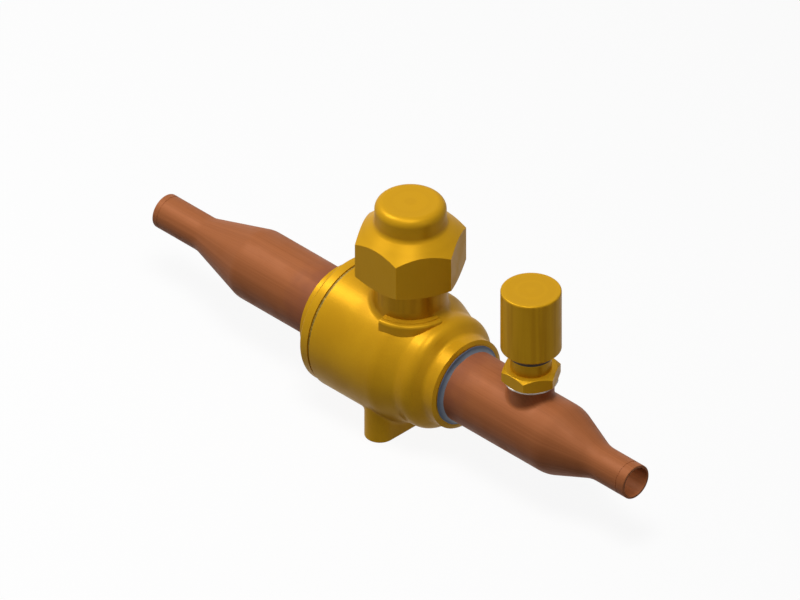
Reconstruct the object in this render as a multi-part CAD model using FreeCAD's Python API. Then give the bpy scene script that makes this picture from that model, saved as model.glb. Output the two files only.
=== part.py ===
"""Refrigerant ball service valve with reduced copper stubs, a seal cap and a side access port.

Millimetres. X runs along the flow, towards the access-port end. Z runs up the spindle.
The origin is the centre of the ball, where the flow axis and the spindle axis cross.
Each piece is one function that returns its solid; write_parts() saves one STEP file per piece.
"""
import FreeCAD, Part
import math
import os

Vector = FreeCAD.Vector
ORIGIN = Vector(0, 0, 0)
X_AXIS = Vector(1, 0, 0)
Z_AXIS = Vector(0, 0, 1)

# Clearances
SLIDE_GAP = 0.05          # radial, between a turning shaft and its bore
BRAZE_GAP = 0.05          # radial, between brazed cylinders
FACE_GAP = 0.02           # axial, between faces of pieces that move apart
POCKET_GAP = 0.10         # radial, between a ring and its pocket
THREAD_GAP = 0.10         # radial, from a thread's crests to the roots they turn in
STOP_PLATE_GAP = 0.30     # radial, round the stop plate and its tab
FIND = 0.01               # how near an edge lies to the place it is looked for

# Ball and seats
BALL_R = 14.5
BALL_BORE_STEP = 5.0      # radial, from the ball's surface to its bore
SLOT_DEPTH = 3.7          # from the top of the ball
SLOT_WIDTH = 5.0
SEAT_INNER_STEP = 0.4     # radial, from the ball's bore
SEAT_CONTACT_R = 11.7
SEAT_OUTER_R = 13.4
SEAT_LENGTH = 5.6

# Body casting, along the flow
CHAMBER_GAP = 0.7         # radial, between the ball and its chamber
BODY_WALL = 6.0
PASSAGE_STEP = 0.2        # radial, from the ball's bore
TUBE_STOP_WEB = 2.8       # from the right seat pocket to the step that stops the tube
TUBE_SOCKET_DEPTH = 7.2
COLLAR_WALL = 3.15
COLLAR_LENGTH = 4.6
COLLAR_CHAMFER = 1.2      # radial, and half as long
SHOULDER_STEP = 2.8       # radial, from the barrel down to the shoulder
SHOULDER_BLEND = 3.5
SHOULDER_LENGTH = 5.0
SHOULDER_START_ROUND = 4.0
SHOULDER_ROUND = 5.0
SHOULDER_ROOT_ROUND = 2.0
BODY_CONE_LENGTH = 7.3
BODY_CONE_ROUND = 8.0

# End closure, welded into the open side of the body
CLOSURE_WEB = 10.6
CLOSURE_COLLAR_WALL = 4.15
CLOSURE_COLLAR_LENGTH = 5.4
CLOSURE_RING_STEP = 0.4   # radial, from the barrel down to the closure's ring
CLOSURE_RING_WIDTH = 3.3
CLOSURE_ROOT_ROUND = 1.4
CLOSURE_EDGE_ROUND = 0.8
SEAM_WIDTH = 1.3
SEAM_DEPTH = 0.4

# Neck, its lip and the spindle bore
NECK_R = 11.35
NECK_ROOT_ROUND = 2.5
NECK_RISE = 19.8          # from the top of the barrel to the neck's rim
NECK_THREAD_LENGTH = 9.0
NECK_THREAD_R = 11.0      # at the crests
NECK_THREAD_DEPTH = 0.95
NECK_TOP_CHAMFER = 0.6
LIP_R = 14.4
LIP_DROP = 1.4            # from the top of the barrel down to the lip's top
LIP_HALF_ANGLE = 42.0
LIP_DIRECTION = -45.0
LIP_FALL = 0.7            # from the foot of the neck out to the lip's edge
LIP_ROUND = 1.0
LIP_LINE_R = 12.9
LIP_LINE_SIZE = 0.3
STOP_FLOOR_DEPTH = 5.5    # from the neck's top down to the floor that the stop plate lies on
STOP_WINDOW_HEIGHT = 2.7
STOP_ANGLE = 90.0

# Stem and what it carries
STEM_R = 5.0
STEM_HEAD_RISE = 8.5      # from the neck's rim to the top of the stem
STEM_TOP_CHAMFER = 0.7
STEM_SQUARE = 7.6
STEM_SHOULDER_R = 7.0
STEM_SHOULDER_GAP = 0.3   # from the top of the ball up to the shoulder
STEM_SHOULDER_HEIGHT = 1.6
TANG_GAP = 0.1
TANG_FLOOR_GAP = 0.2
DRIVER_SLOT_WIDTH = 1.5
DRIVER_SLOT_DEPTH = 2.2
THRUST_WASHER_HEIGHT = 1.0
STEM_SEAL_SECTION_R = 0.72
STEM_SEAL_GROOVE_WIDTH = 2.0
STEM_SEAL_RISE = 3.6      # from the thrust washer up to the lower seal
STEM_SEAL_SPACING = 6.0
STOP_PLATE_R = 6.2
STOP_PLATE_HEIGHT = 2.0
STOP_TAB_R = 8.1
STOP_TAB_HALF_ANGLE = 16.0
STOP_SIDE_GAP_ANGLE = 1.0
RETAINING_RING_R = 6.4
RETAINING_RING_HEIGHT = 0.9
RETAINING_GROOVE_R = 3.6
RETAINING_RING_MOUTH = 3.0

# Base pad with its two threaded holes
PAD_HALF_WIDTH = 4.7
PAD_HOLE_SPACING = 26.0
PAD_HEIGHT = 2.5          # from the bottom of the barrel down to the pad's face
PAD_BLEND = 1.8
PAD_EDGE_ROUND = 0.4
PAD_HOLE_R = 2.1
PAD_HOLE_DEPTH = 8.5
DRILL_TIP_ANGLE = 118.0

# Seal cap over the spindle
CAP_FLATS = 30.0
CAP_SKIRT = 11.1          # from the neck's rim down to the cap's open face
CAP_CORNER_RISE = 1.25    # from the open face up to the lower ends of the hexagon's edges
CAP_CORNER_LENGTH = 11.5
CAP_LOW_CHAMFER = 25.0
CAP_HIGH_CHAMFER = 40.0
CAP_DOME_R = 10.9
CAP_HEADROOM = 3.3        # over the stem's head
CAP_TOP_ROUND = 2.7
CAP_DOME_ROOT_ROUND = 2.0
CAP_TOP_WALL = 2.7
CAP_DOME_WALL = 2.5
CAP_BORE_ROUND = 1.5
CAP_GASKET_HEIGHT = 0.9
CAP_GASKET_INNER_R = 8.7

# Copper stubs
TUBE_R = 11.4
TUBE_WALL = 1.0
STUB_BORE_R = 4.8
STUB_WALL = 0.77
LEFT_END_X = -104.2
LEFT_STUB_LENGTH = 17.9
LEFT_TAPER_LENGTH = 21.4
LEFT_TAPER_ROUND = 9.0
LEFT_SIZING_LINE = 2.1
RIGHT_END_X = 95.7
RIGHT_STUB_LENGTH = 15.2
RIGHT_TAPER_LENGTH = 15.8
RIGHT_TAPER_ROUND = 13.0
RIGHT_SIZING_LINE = 3.1
SIZING_LINE_WIDTH = 0.35
SIZING_LINE_DEPTH = 0.12
END_ROUND = 0.25
BRAZE_RING_WIDTH = 1.5    # over the collar's face
BRAZE_RING_CLIMB = 1.2    # along the tube
BRAZE_RING_EDGE = 0.15

# Access port, brazed into a collar pulled out of the right stub
PORT_X = 51.2
PULLED_COLLAR_R = 7.1
PULLED_COLLAR_HEIGHT = 4.0
PULLED_COLLAR_ROUND = 1.5
PORT_SPIGOT_LENGTH = 6.0
PORT_BRAZE_HEIGHT = 0.6
PORT_BRAZE_R = 7.9
PORT_FLATS = 16.0
PORT_HEX_HEIGHT = 4.4
PORT_HEX_CHAMFER = 30.0
PORT_HEX_FACE_R = 7.9
PORT_NECK_R = 6.3
PORT_NECK_HEIGHT = 4.3
PORT_NECK_ROUND = 0.4
PORT_THREAD_R = 5.5       # at the crests
PORT_THREAD_DEPTH = 0.75
PORT_THREAD_LENGTH = 17.7
PORT_FLARE = 1.5
PORT_BORE_R = 2.1

# Valve core in the access port
CORE_PLUG_R = 2.65
CORE_PLUG_TOP_DEPTH = 0.8
CORE_PLUG_HEIGHT = 4.2
CORE_FLATS = 3.2
CORE_FLATS_HEIGHT = 1.7
CORE_SEAT_DEPTH = 6.9
CORE_SEAT_HEIGHT = 1.0
CORE_BARREL_R = 1.9
CORE_BARREL_LENGTH = 8.0
CORE_BARREL_BORE_R = 1.35
CORE_FLOOR = 1.0
CORE_GASKET_HEIGHT = 1.6
CORE_PIN_R = 0.5
CORE_PIN_TOP_DEPTH = 0.1
CORE_PIN_COLLAR_R = 1.2
CORE_PIN_COLLAR_HEIGHT = 0.6
CORE_PIN_ROUND = 0.15
CORE_CUP_R = 1.7
CORE_CUP_HEIGHT = 1.7
CORE_SEAL_HEIGHT = 0.95
CORE_HOLE_GAP = 0.25
CORE_SPRING_LENGTH = 5.0
CORE_SPRING_R = 0.95
CORE_SPRING_WIRE_R = 0.13
CORE_SPRING_TURNS = 5

# Port cap
PORT_CAP_R = 9.25
PORT_CAP_GAP = 2.3        # between the port's neck and the cap, where the seal shows
PORT_CAP_HEADROOM = 1.5   # over the port's nose
PORT_CAP_CHAMFER = 0.8
PORT_CAP_ROUND = 0.6
PORT_CAP_TOP_WALL = 3.2
PORT_CAP_FLARE_R = 3.3
PORT_CAP_FLARE_GAP = 0.2
PORT_SEAL_R = 6.7
PORT_SEAL_WALL = 1.1
PORT_SEAL_RECESS = 0.9
PORT_SEAL_ROUND = 0.3

# Places worked out from the sizes above
ball_bore_r = BALL_R - BALL_BORE_STEP
chamber_r = BALL_R + CHAMBER_GAP
body_r = chamber_r + BODY_WALL
shoulder_r = body_r - SHOULDER_STEP
closure_ring_r = body_r - CLOSURE_RING_STEP
seat_inner_r = ball_bore_r + SEAT_INNER_STEP
passage_r = ball_bore_r + PASSAGE_STEP
seat_front = math.sqrt(BALL_R ** 2 - SEAT_CONTACT_R ** 2)
seat_back = seat_front + SEAT_LENGTH
pocket_r = SEAT_OUTER_R + POCKET_GAP
stub_r = STUB_BORE_R + STUB_WALL
socket_r = TUBE_R + BRAZE_GAP
collar_r = socket_r + COLLAR_WALL
right_tube_stop = seat_back + TUBE_STOP_WEB
collar_end = right_tube_stop + TUBE_SOCKET_DEPTH
left_tube_stop = -seat_back - CLOSURE_WEB
closure_end = left_tube_stop - TUBE_SOCKET_DEPTH
closure_ring_end = closure_end + CLOSURE_COLLAR_LENGTH
closure_ring_face = closure_ring_end + CLOSURE_RING_WIDTH
body_left = closure_ring_face + SEAM_WIDTH
pad_face = -body_r - PAD_HEIGHT
lip_top = body_r - LIP_DROP
neck_top = body_r + NECK_RISE
neck_thread_low = neck_top - NECK_THREAD_LENGTH
neck_root_r = NECK_THREAD_R - NECK_THREAD_DEPTH
slot_floor = BALL_R - SLOT_DEPTH
shoulder_low = BALL_R + STEM_SHOULDER_GAP
shoulder_top = shoulder_low + STEM_SHOULDER_HEIGHT
stem_bore_z = shoulder_top + THRUST_WASHER_HEIGHT
stem_bore_r = STEM_R + SLIDE_GAP
stem_top = neck_top + STEM_HEAD_RISE
lower_seal = stem_bore_z + STEM_SEAL_RISE
upper_seal = lower_seal + STEM_SEAL_SPACING
stop_floor = neck_top - STOP_FLOOR_DEPTH
plate_low = stop_floor + FACE_GAP
plate_high = plate_low + STOP_PLATE_HEIGHT
ring_low = plate_high + FACE_GAP
cap_root_r = NECK_THREAD_R + THREAD_GAP
cap_ledge = neck_top + FACE_GAP + CAP_GASKET_HEIGHT
cap_face = neck_top - CAP_SKIRT
cap_corner_low = cap_face + CAP_CORNER_RISE
cap_corner_high = cap_corner_low + CAP_CORNER_LENGTH
cap_ceiling = stem_top + CAP_HEADROOM
cap_top = cap_ceiling + CAP_TOP_WALL
collar_top = TUBE_R + PULLED_COLLAR_HEIGHT
hex_low = collar_top + PORT_BRAZE_HEIGHT
hex_high = hex_low + PORT_HEX_HEIGHT
port_neck_high = hex_high + PORT_NECK_HEIGHT
port_root_r = PORT_THREAD_R - PORT_THREAD_DEPTH
port_flare_low = port_neck_high + PORT_THREAD_LENGTH
port_top = port_flare_low + PORT_FLARE
core_plug_high = port_top - CORE_PLUG_TOP_DEPTH
core_plug_low = core_plug_high - CORE_PLUG_HEIGHT
core_barrel_low = core_plug_low - CORE_BARREL_LENGTH
core_floor_high = core_barrel_low + CORE_FLOOR
core_spring_high = core_floor_high + CORE_SPRING_LENGTH
core_seat_high = port_top - CORE_SEAT_DEPTH
core_seat_low = core_seat_high - CORE_SEAT_HEIGHT
pulled_bore_r = PULLED_COLLAR_R - TUBE_WALL
port_cap_face = port_neck_high + PORT_CAP_GAP
port_cap_ceiling = port_top + PORT_CAP_HEADROOM
port_cap_top = port_cap_ceiling + PORT_CAP_TOP_WALL
port_cap_root_r = PORT_THREAD_R + THREAD_GAP


def rounded_wire(corners):
    """Closed wire through (point, radius) corners, each rounded by a tangent arc of its radius."""
    count = len(corners)
    entries = []
    for index, (point, radius) in enumerate(corners):
        before = (corners[index - 1][0] - point).normalize()
        after = (corners[(index + 1) % count][0] - point).normalize()
        if radius == 0:
            entries.append((point, None, point))
            continue
        half = before.getAngle(after) / 2
        run = radius / math.tan(half)
        inward = (before + after).normalize()
        middle = point + inward * (radius / math.sin(half) - radius)
        entries.append((point + before * run, middle, point + after * run))
    edges = []
    for index, (start, middle, end) in enumerate(entries):
        if middle is not None:
            edges.append(Part.Arc(start, middle, end).toShape())
        following = entries[(index + 1) % count][0]
        if end.distanceToPoint(following) > 1e-7:
            edges.append(Part.LineSegment(end, following).toShape())
    return Part.Wire(edges)


def turned_x(outline):
    """Solid turned about the flow axis from (x, radius, corner radius) points."""
    corners = [(Vector(x, 0, r), rounding) for x, r, rounding in outline]
    return Part.Face(rounded_wire(corners)).revolve(ORIGIN, X_AXIS, 360)


def turned_z(outline, x=0.0, angle=360.0):
    """Solid turned about the vertical axis at x from (radius, z, corner radius) points."""
    corners = [(Vector(x + r, 0, z), rounding) for r, z, rounding in outline]
    return Part.Face(rounded_wire(corners)).revolve(Vector(x, 0, 0), Z_AXIS, angle)


def rod_x(radius, start, end):
    """Cylinder on the flow axis between two x values."""
    return Part.makeCylinder(radius, end - start, Vector(start, 0, 0), X_AXIS)


def rod_z(radius, low, high, x=0.0, y=0.0):
    """Upright cylinder between two heights."""
    return Part.makeCylinder(radius, high - low, Vector(x, y, low), Z_AXIS)


def ring_z(outer, inner, low, high, x=0.0):
    """Upright plain ring."""
    return rod_z(outer, low, high, x).cut(rod_z(inner, low, high, x))


def block(width, depth, low, high):
    """Box centred on the spindle axis between two heights."""
    return Part.makeBox(width, depth, high - low, Vector(-width / 2, -depth / 2, low))


def hex_prism(flats, low, high, x=0.0):
    """Upright hexagon prism with two corners on the X direction."""
    corner_r = flats / math.sqrt(3)
    points = []
    for side in range(7):
        turn = math.radians(60 * side)
        points.append(Vector(x + corner_r * math.cos(turn), corner_r * math.sin(turn), low))
    return Part.Face(Part.makePolygon(points)).extrude(Vector(0, 0, high - low))


def sector(inner, outer, low, high, start, end):
    """Part of an upright ring between two angles in degrees."""
    outline = [(inner, low, 0), (outer, low, 0), (outer, high, 0), (inner, high, 0)]
    piece = turned_z(outline, angle=end - start)
    piece.rotate(ORIGIN, Z_AXIS, start)
    return piece


def fillet_where(solid, radius, test):
    """Round the edges of a solid that pass a test."""
    return solid.makeFillet(radius, [edge for edge in solid.Edges if test(edge)])


def body_outer():
    """Turned outside of the casting, from the weld seam to the end of the right collar."""
    collar_start = collar_end - COLLAR_LENGTH
    shoulder_end = collar_start - SHOULDER_BLEND
    shoulder_start = shoulder_end - SHOULDER_LENGTH
    cone_start = shoulder_start - BODY_CONE_LENGTH
    return turned_x([
        (body_left, 0, 0),
        (body_left, body_r, 0),
        (cone_start, body_r, BODY_CONE_ROUND),
        (shoulder_start, shoulder_r, SHOULDER_START_ROUND),
        (shoulder_end, shoulder_r, SHOULDER_ROUND),
        (collar_start, collar_r, SHOULDER_ROOT_ROUND),
        (collar_end - COLLAR_CHAMFER / 2, collar_r, 0),
        (collar_end, collar_r - COLLAR_CHAMFER, 0),
        (collar_end, 0, 0),
    ])


def base_pad():
    """Racetrack pad under the body, with a round end at each threaded hole."""
    half = PAD_HOLE_SPACING / 2
    pad = block(2 * PAD_HALF_WIDTH, PAD_HOLE_SPACING, pad_face, 0)
    for side in (-1, 1):
        pad = pad.fuse(rod_z(PAD_HALF_WIDTH, pad_face, 0, y=side * half))
    return pad.removeSplitter()


def pad_hole(y):
    """Blind hole of the tapping size, with the drill's cone at its end."""
    end = pad_face + PAD_HOLE_DEPTH
    tip = PAD_HOLE_R / math.tan(math.radians(DRILL_TIP_ANGLE / 2))
    cone = Part.makeCone(PAD_HOLE_R, 0, tip, Vector(0, y, end), Z_AXIS)
    return rod_z(PAD_HOLE_R, pad_face - 1, end, y=y).fuse(cone)


def neck_outer():
    """Upright neck: plain below the cap, stepped in at its thread, chamfered at its rim."""
    step = NECK_R - neck_root_r
    return turned_z([
        (0, 0, 0),
        (NECK_R, 0, 0),
        (NECK_R, neck_thread_low - step, 0),
        (neck_root_r, neck_thread_low, 0),
        (neck_root_r, neck_top - NECK_TOP_CHAMFER, 0),
        (neck_root_r - NECK_TOP_CHAMFER, neck_top, 0),
        (0, neck_top, 0),
    ])


def neck_lip():
    """Raised arc at the foot of the neck, with a fine line turned into its top."""
    half_line = LIP_LINE_SIZE / 2
    fall = LIP_FALL / (LIP_R - NECK_R)
    lip = turned_z([
        (NECK_R - 1, 0, 0),
        (LIP_R, 0, 0),
        (LIP_R, lip_top - LIP_FALL, LIP_ROUND),
        (LIP_LINE_R + half_line, lip_top - (LIP_LINE_R + half_line - NECK_R) * fall, 0),
        (LIP_LINE_R, lip_top - (LIP_LINE_R - NECK_R) * fall - LIP_LINE_SIZE, 0),
        (LIP_LINE_R - half_line, lip_top - (LIP_LINE_R - half_line - NECK_R) * fall, 0),
        (NECK_R, lip_top, 0),
        (NECK_R - 1, lip_top, 0),
    ], angle=2 * LIP_HALF_ANGLE)
    lip.rotate(ORIGIN, Z_AXIS, LIP_DIRECTION - LIP_HALF_ANGLE)
    return lip


def stem_bore():
    """All that is cut out of the body on the spindle axis, from the chamber to the stop window."""
    window_top = stop_floor + STOP_WINDOW_HEIGHT
    window_r = STOP_TAB_R + STOP_PLATE_GAP
    margin = STOP_TAB_HALF_ANGLE + STOP_SIDE_GAP_ANGLE
    cuts = rod_z(STEM_SHOULDER_R + POCKET_GAP, 0, stem_bore_z)
    cuts = cuts.fuse(rod_z(stem_bore_r, 0, neck_top))
    cuts = cuts.fuse(rod_z(STOP_PLATE_R + STOP_PLATE_GAP, stop_floor, neck_top))
    cuts = cuts.fuse(rod_z(window_r, window_top, neck_top + 1))
    window = sector(stem_bore_r, window_r, stop_floor, window_top + 1, -margin, STOP_ANGLE + margin)
    return cuts.fuse(window)


def valve_body():
    """Cast and machined brass body: barrel, shoulder, right collar, neck, lip and base pad."""
    body = body_outer().fuse(base_pad()).removeSplitter()
    body = fillet_where(body, PAD_BLEND, is_pad_root)
    body = fillet_where(body, PAD_EDGE_ROUND, is_pad_rim)
    body = body.fuse(neck_outer()).removeSplitter()
    body = fillet_where(body, NECK_ROOT_ROUND, is_neck_root)
    body = body.fuse(neck_lip())
    body = body.cut(rod_x(chamber_r, body_left - 1, seat_front - POCKET_GAP))
    body = body.cut(rod_x(pocket_r, 0, seat_back))
    body = body.cut(rod_x(passage_r, 0, collar_end + 1))
    body = body.cut(rod_x(socket_r, right_tube_stop, collar_end + 1))
    body = body.cut(stem_bore())
    for side in (-1, 1):
        body = body.cut(pad_hole(side * PAD_HOLE_SPACING / 2))
    return body


def is_pad_root(edge):
    """True for the edges where the pad's upright walls run into the barrel."""
    box = edge.BoundBox
    reach_x = PAD_HALF_WIDTH + FIND
    reach_y = PAD_HOLE_SPACING / 2 + PAD_HALF_WIDTH + FIND
    inside = -reach_x < box.XMin and box.XMax < reach_x and -reach_y < box.YMin and box.YMax < reach_y
    return inside and pad_face + FIND < box.ZMin and box.ZMax < 0 and not is_upright(edge)


def is_pad_rim(edge):
    """True for the edges round the pad's face."""
    return edge.BoundBox.ZMax < pad_face + FIND


def is_upright(edge):
    """True for a straight edge that only changes in height."""
    box = edge.BoundBox
    return box.XLength < FIND and box.YLength < FIND


def is_neck_root(edge):
    """True for the edges where the neck's cylinder runs into the barrel and the cone."""
    box = edge.BoundBox
    reach = NECK_R + FIND
    inside = -reach < box.XMin and box.XMax < reach and -reach < box.YMin and box.YMax < reach
    return inside and 0 < box.ZMin and box.ZMax < body_r + FIND and not is_upright(edge)


def end_closure():
    """Turned brass plug that holds the left seat and carries the left tube."""
    collar = socket_r + CLOSURE_COLLAR_WALL
    spigot_r = chamber_r - SLIDE_GAP
    closure = turned_x([
        (closure_end, 0, 0),
        (closure_end, collar - COLLAR_CHAMFER, 0),
        (closure_end + COLLAR_CHAMFER / 2, collar, 0),
        (closure_ring_end, collar, CLOSURE_ROOT_ROUND),
        (closure_ring_end, closure_ring_r, CLOSURE_EDGE_ROUND),
        (closure_ring_face, closure_ring_r, 0),
        (closure_ring_face, spigot_r, 0),
        (-seat_front, spigot_r, 0),
        (-seat_front, 0, 0),
    ])
    closure = closure.cut(rod_x(pocket_r, -seat_back, 0))
    closure = closure.cut(rod_x(passage_r, closure_end - 1, 0))
    return closure.cut(rod_x(socket_r, closure_end - 1, left_tube_stop))


def closure_weld():
    """Ring of weld metal in the seam between the closure and the body."""
    ring = rod_x(closure_ring_r - SEAM_DEPTH, closure_ring_face, body_left)
    return ring.cut(rod_x(chamber_r, closure_ring_face, body_left))


def ball():
    """Floating ball with its flow bore and the slot that the stem's tang turns it by."""
    solid = Part.makeSphere(BALL_R)
    solid = solid.cut(rod_x(ball_bore_r, -BALL_R, BALL_R))
    return solid.cut(block(SLOT_WIDTH, 2 * BALL_R, slot_floor, BALL_R + 1))


def ball_seat(side):
    """Seat ring with a spherical land; side is -1 at the closure and 1 at the body."""
    blank = rod_x(SEAT_OUTER_R, seat_front, seat_back).cut(rod_x(seat_inner_r, seat_front, seat_back))
    seat = blank.cut(Part.makeSphere(BALL_R + SLIDE_GAP))
    if side < 0:
        seat.rotate(ORIGIN, Z_AXIS, 180)
    return seat


def stem():
    """Stem with its tang, blow-out shoulder, seal grooves, squared head and driver slot."""
    reach = STEM_SHOULDER_R + 1
    solid = turned_z([
        (0, shoulder_low, 0),
        (STEM_SHOULDER_R, shoulder_low, 0),
        (STEM_SHOULDER_R, shoulder_top, 0),
        (STEM_R, shoulder_top, 0),
        (STEM_R, stem_top - STEM_TOP_CHAMFER, 0),
        (STEM_R - STEM_TOP_CHAMFER, stem_top, 0),
        (0, stem_top, 0),
    ])
    tang = block(SLOT_WIDTH - 2 * TANG_GAP, 2 * reach, slot_floor + TANG_FLOOR_GAP, shoulder_low)
    tang = tang.common(rod_z(STEM_SHOULDER_R, 0, shoulder_low))
    solid = solid.fuse(tang)
    for height in (lower_seal, upper_seal):
        low = height - STEM_SEAL_GROOVE_WIDTH / 2
        high = height + STEM_SEAL_GROOVE_WIDTH / 2
        solid = solid.cut(ring_z(reach, STEM_R - 2 * STEM_SEAL_SECTION_R, low, high))
    around_square = rod_z(reach, stop_floor, stem_top + 1)
    solid = solid.cut(around_square.cut(block(STEM_SQUARE, STEM_SQUARE, stop_floor, stem_top + 1)))
    groove_high = ring_low + RETAINING_RING_HEIGHT + FACE_GAP
    solid = solid.cut(ring_z(reach, RETAINING_GROOVE_R, ring_low - FACE_GAP, groove_high))
    slot = block(2 * reach, DRIVER_SLOT_WIDTH, stem_top - DRIVER_SLOT_DEPTH, stem_top + 1)
    return solid.cut(slot)


def stem_thrust_washer():
    """Low-friction washer that the stem's shoulder bears on."""
    return ring_z(STEM_SHOULDER_R, STEM_R + POCKET_GAP, shoulder_top + FACE_GAP, stem_bore_z)


def stem_seal(height):
    """O-ring in a groove of the stem."""
    centre_r = STEM_R - STEM_SEAL_SECTION_R
    return Part.makeTorus(centre_r, STEM_SEAL_SECTION_R, Vector(0, 0, height), Z_AXIS)


def stop_plate():
    """Plate on the stem's square, whose tab meets the ends of the window in the neck."""
    gap = SLIDE_GAP
    tab = sector(STEM_R, STOP_TAB_R, plate_low, plate_high,
                 STOP_ANGLE - STOP_TAB_HALF_ANGLE, STOP_ANGLE + STOP_TAB_HALF_ANGLE)
    plate = rod_z(STOP_PLATE_R, plate_low, plate_high).fuse(tab)
    hole = block(STEM_SQUARE + 2 * gap, STEM_SQUARE + 2 * gap, plate_low, plate_high)
    return plate.cut(hole.common(rod_z(STEM_R + gap, plate_low, plate_high))).removeSplitter()


def stem_retaining_ring():
    """Open spring ring in the stem's groove, above the stop plate."""
    high = ring_low + RETAINING_RING_HEIGHT
    ring = ring_z(RETAINING_RING_R, RETAINING_GROOVE_R + SLIDE_GAP, ring_low, high)
    mouth = Part.makeBox(RETAINING_RING_MOUTH, RETAINING_RING_R, RETAINING_RING_HEIGHT,
                         Vector(-RETAINING_RING_MOUTH / 2, -RETAINING_RING_R, ring_low))
    return ring.cut(mouth)


def seal_cap():
    """Hexagon cap with a domed top, bored out over the neck's thread and the stem's head."""
    corner_r = CAP_FLATS / math.sqrt(3)
    low_slope = math.tan(math.radians(CAP_LOW_CHAMFER))
    high_slope = math.tan(math.radians(CAP_HIGH_CHAMFER))
    face_r = corner_r - CAP_CORNER_RISE / low_slope
    dome_base = cap_corner_high + (corner_r - CAP_DOME_R) * high_slope
    envelope = turned_z([
        (0, cap_face, 0),
        (face_r, cap_face, 0),
        (corner_r, cap_corner_low, 0),
        (corner_r, cap_corner_high, 0),
        (CAP_DOME_R, dome_base, CAP_DOME_ROOT_ROUND),
        (CAP_DOME_R, cap_top, CAP_TOP_ROUND),
        (0, cap_top, 0),
    ])
    core_r = (CAP_DOME_R + CAP_FLATS / 2) / 2
    hexagon = hex_prism(CAP_FLATS, cap_face, dome_base)
    blank = envelope.common(hexagon.fuse(rod_z(core_r, cap_corner_high, cap_top)))
    skirt_r = NECK_R + THREAD_GAP
    dome_bore = CAP_DOME_R - CAP_DOME_WALL
    cavity = turned_z([
        (0, cap_face - 1, 0),
        (skirt_r, cap_face - 1, 0),
        (skirt_r, neck_thread_low, 0),
        (cap_root_r, neck_thread_low + skirt_r - cap_root_r, 0),
        (cap_root_r, cap_ledge, 0),
        (dome_bore, cap_ledge, 0),
        (dome_bore, cap_ceiling, CAP_BORE_ROUND),
        (0, cap_ceiling, 0),
    ])
    return blank.cut(cavity).removeSplitter()


def seal_cap_gasket():
    """Flat gasket between the neck's rim and the ledge inside the cap."""
    return ring_z(cap_root_r - FACE_GAP, CAP_GASKET_INNER_R, neck_top + FACE_GAP, cap_ledge)


def stub_outline(end, stub_length, taper_length, rounding, shell_r, end_r, inner_end):
    """Half outline of a reduced stub, from its free end to the end in the collar, for one skin."""
    side = 1 if end > 0 else -1
    stub = end - side * stub_length
    taper = stub - side * taper_length
    return [(end, end_r, 0), (stub, end_r, rounding), (taper, shell_r, rounding), (inner_end, shell_r, 0)]


def reduced_tube(end, stub_length, taper_length, rounding, sizing_line, inner_end):
    """Copper tube drawn down to a small stub, with a fine sizing line near its free end."""
    side = 1 if end > 0 else -1
    outer = stub_outline(end, stub_length, taper_length, rounding, TUBE_R, stub_r, inner_end)
    inner = stub_outline(end, stub_length, taper_length, rounding, TUBE_R - TUBE_WALL, STUB_BORE_R, inner_end)
    outer[0] = (end, stub_r, END_ROUND)
    tube = turned_x([(end, 0, 0)] + outer + [(inner_end, 0, 0)])
    bore = turned_x([(end, 0, 0)] + inner + [(inner_end, 0, 0)])
    line_x = end - side * sizing_line
    score = rod_x(stub_r + 1, line_x - SIZING_LINE_WIDTH / 2, line_x + SIZING_LINE_WIDTH / 2)
    score = score.cut(rod_x(stub_r - SIZING_LINE_DEPTH, line_x - 1, line_x + 1))
    return tube.cut(score), bore


def left_tube():
    """Left copper stub, brazed into the closure."""
    tube, bore = reduced_tube(LEFT_END_X, LEFT_STUB_LENGTH, LEFT_TAPER_LENGTH, LEFT_TAPER_ROUND,
                              LEFT_SIZING_LINE, left_tube_stop)
    return tube.cut(bore)


def right_tube():
    """Right copper stub, brazed into the body, with the collar pulled out for the access port."""
    tube, bore = reduced_tube(RIGHT_END_X, RIGHT_STUB_LENGTH, RIGHT_TAPER_LENGTH, RIGHT_TAPER_ROUND,
                              RIGHT_SIZING_LINE, right_tube_stop)
    tube = tube.fuse(rod_z(PULLED_COLLAR_R, 0, collar_top, PORT_X)).removeSplitter()
    tube = fillet_where(tube, PULLED_COLLAR_ROUND, is_pulled_root)
    tube = tube.cut(bore)
    return tube.cut(rod_z(pulled_bore_r, 0, collar_top + 1, PORT_X))


def is_pulled_root(edge):
    """True for the edge where the pulled collar leaves the tube."""
    box = edge.BoundBox
    near = PORT_X - PULLED_COLLAR_R - FIND < box.XMin and box.XMax < PORT_X + PULLED_COLLAR_R + FIND
    return near and 0 < box.ZMin and box.ZMax < TUBE_R + FIND and not is_upright(edge)


def braze_ring(face, side):
    """Fillet of braze metal round the tube at a collar's end face."""
    outer = TUBE_R + BRAZE_RING_WIDTH
    tip = face + side * BRAZE_RING_CLIMB
    return turned_x([
        (face, TUBE_R, 0),
        (face, outer, 0),
        (face + side * BRAZE_RING_EDGE, outer, 0),
        (tip, TUBE_R + BRAZE_RING_EDGE, 0),
        (tip, TUBE_R, 0),
    ])


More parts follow.
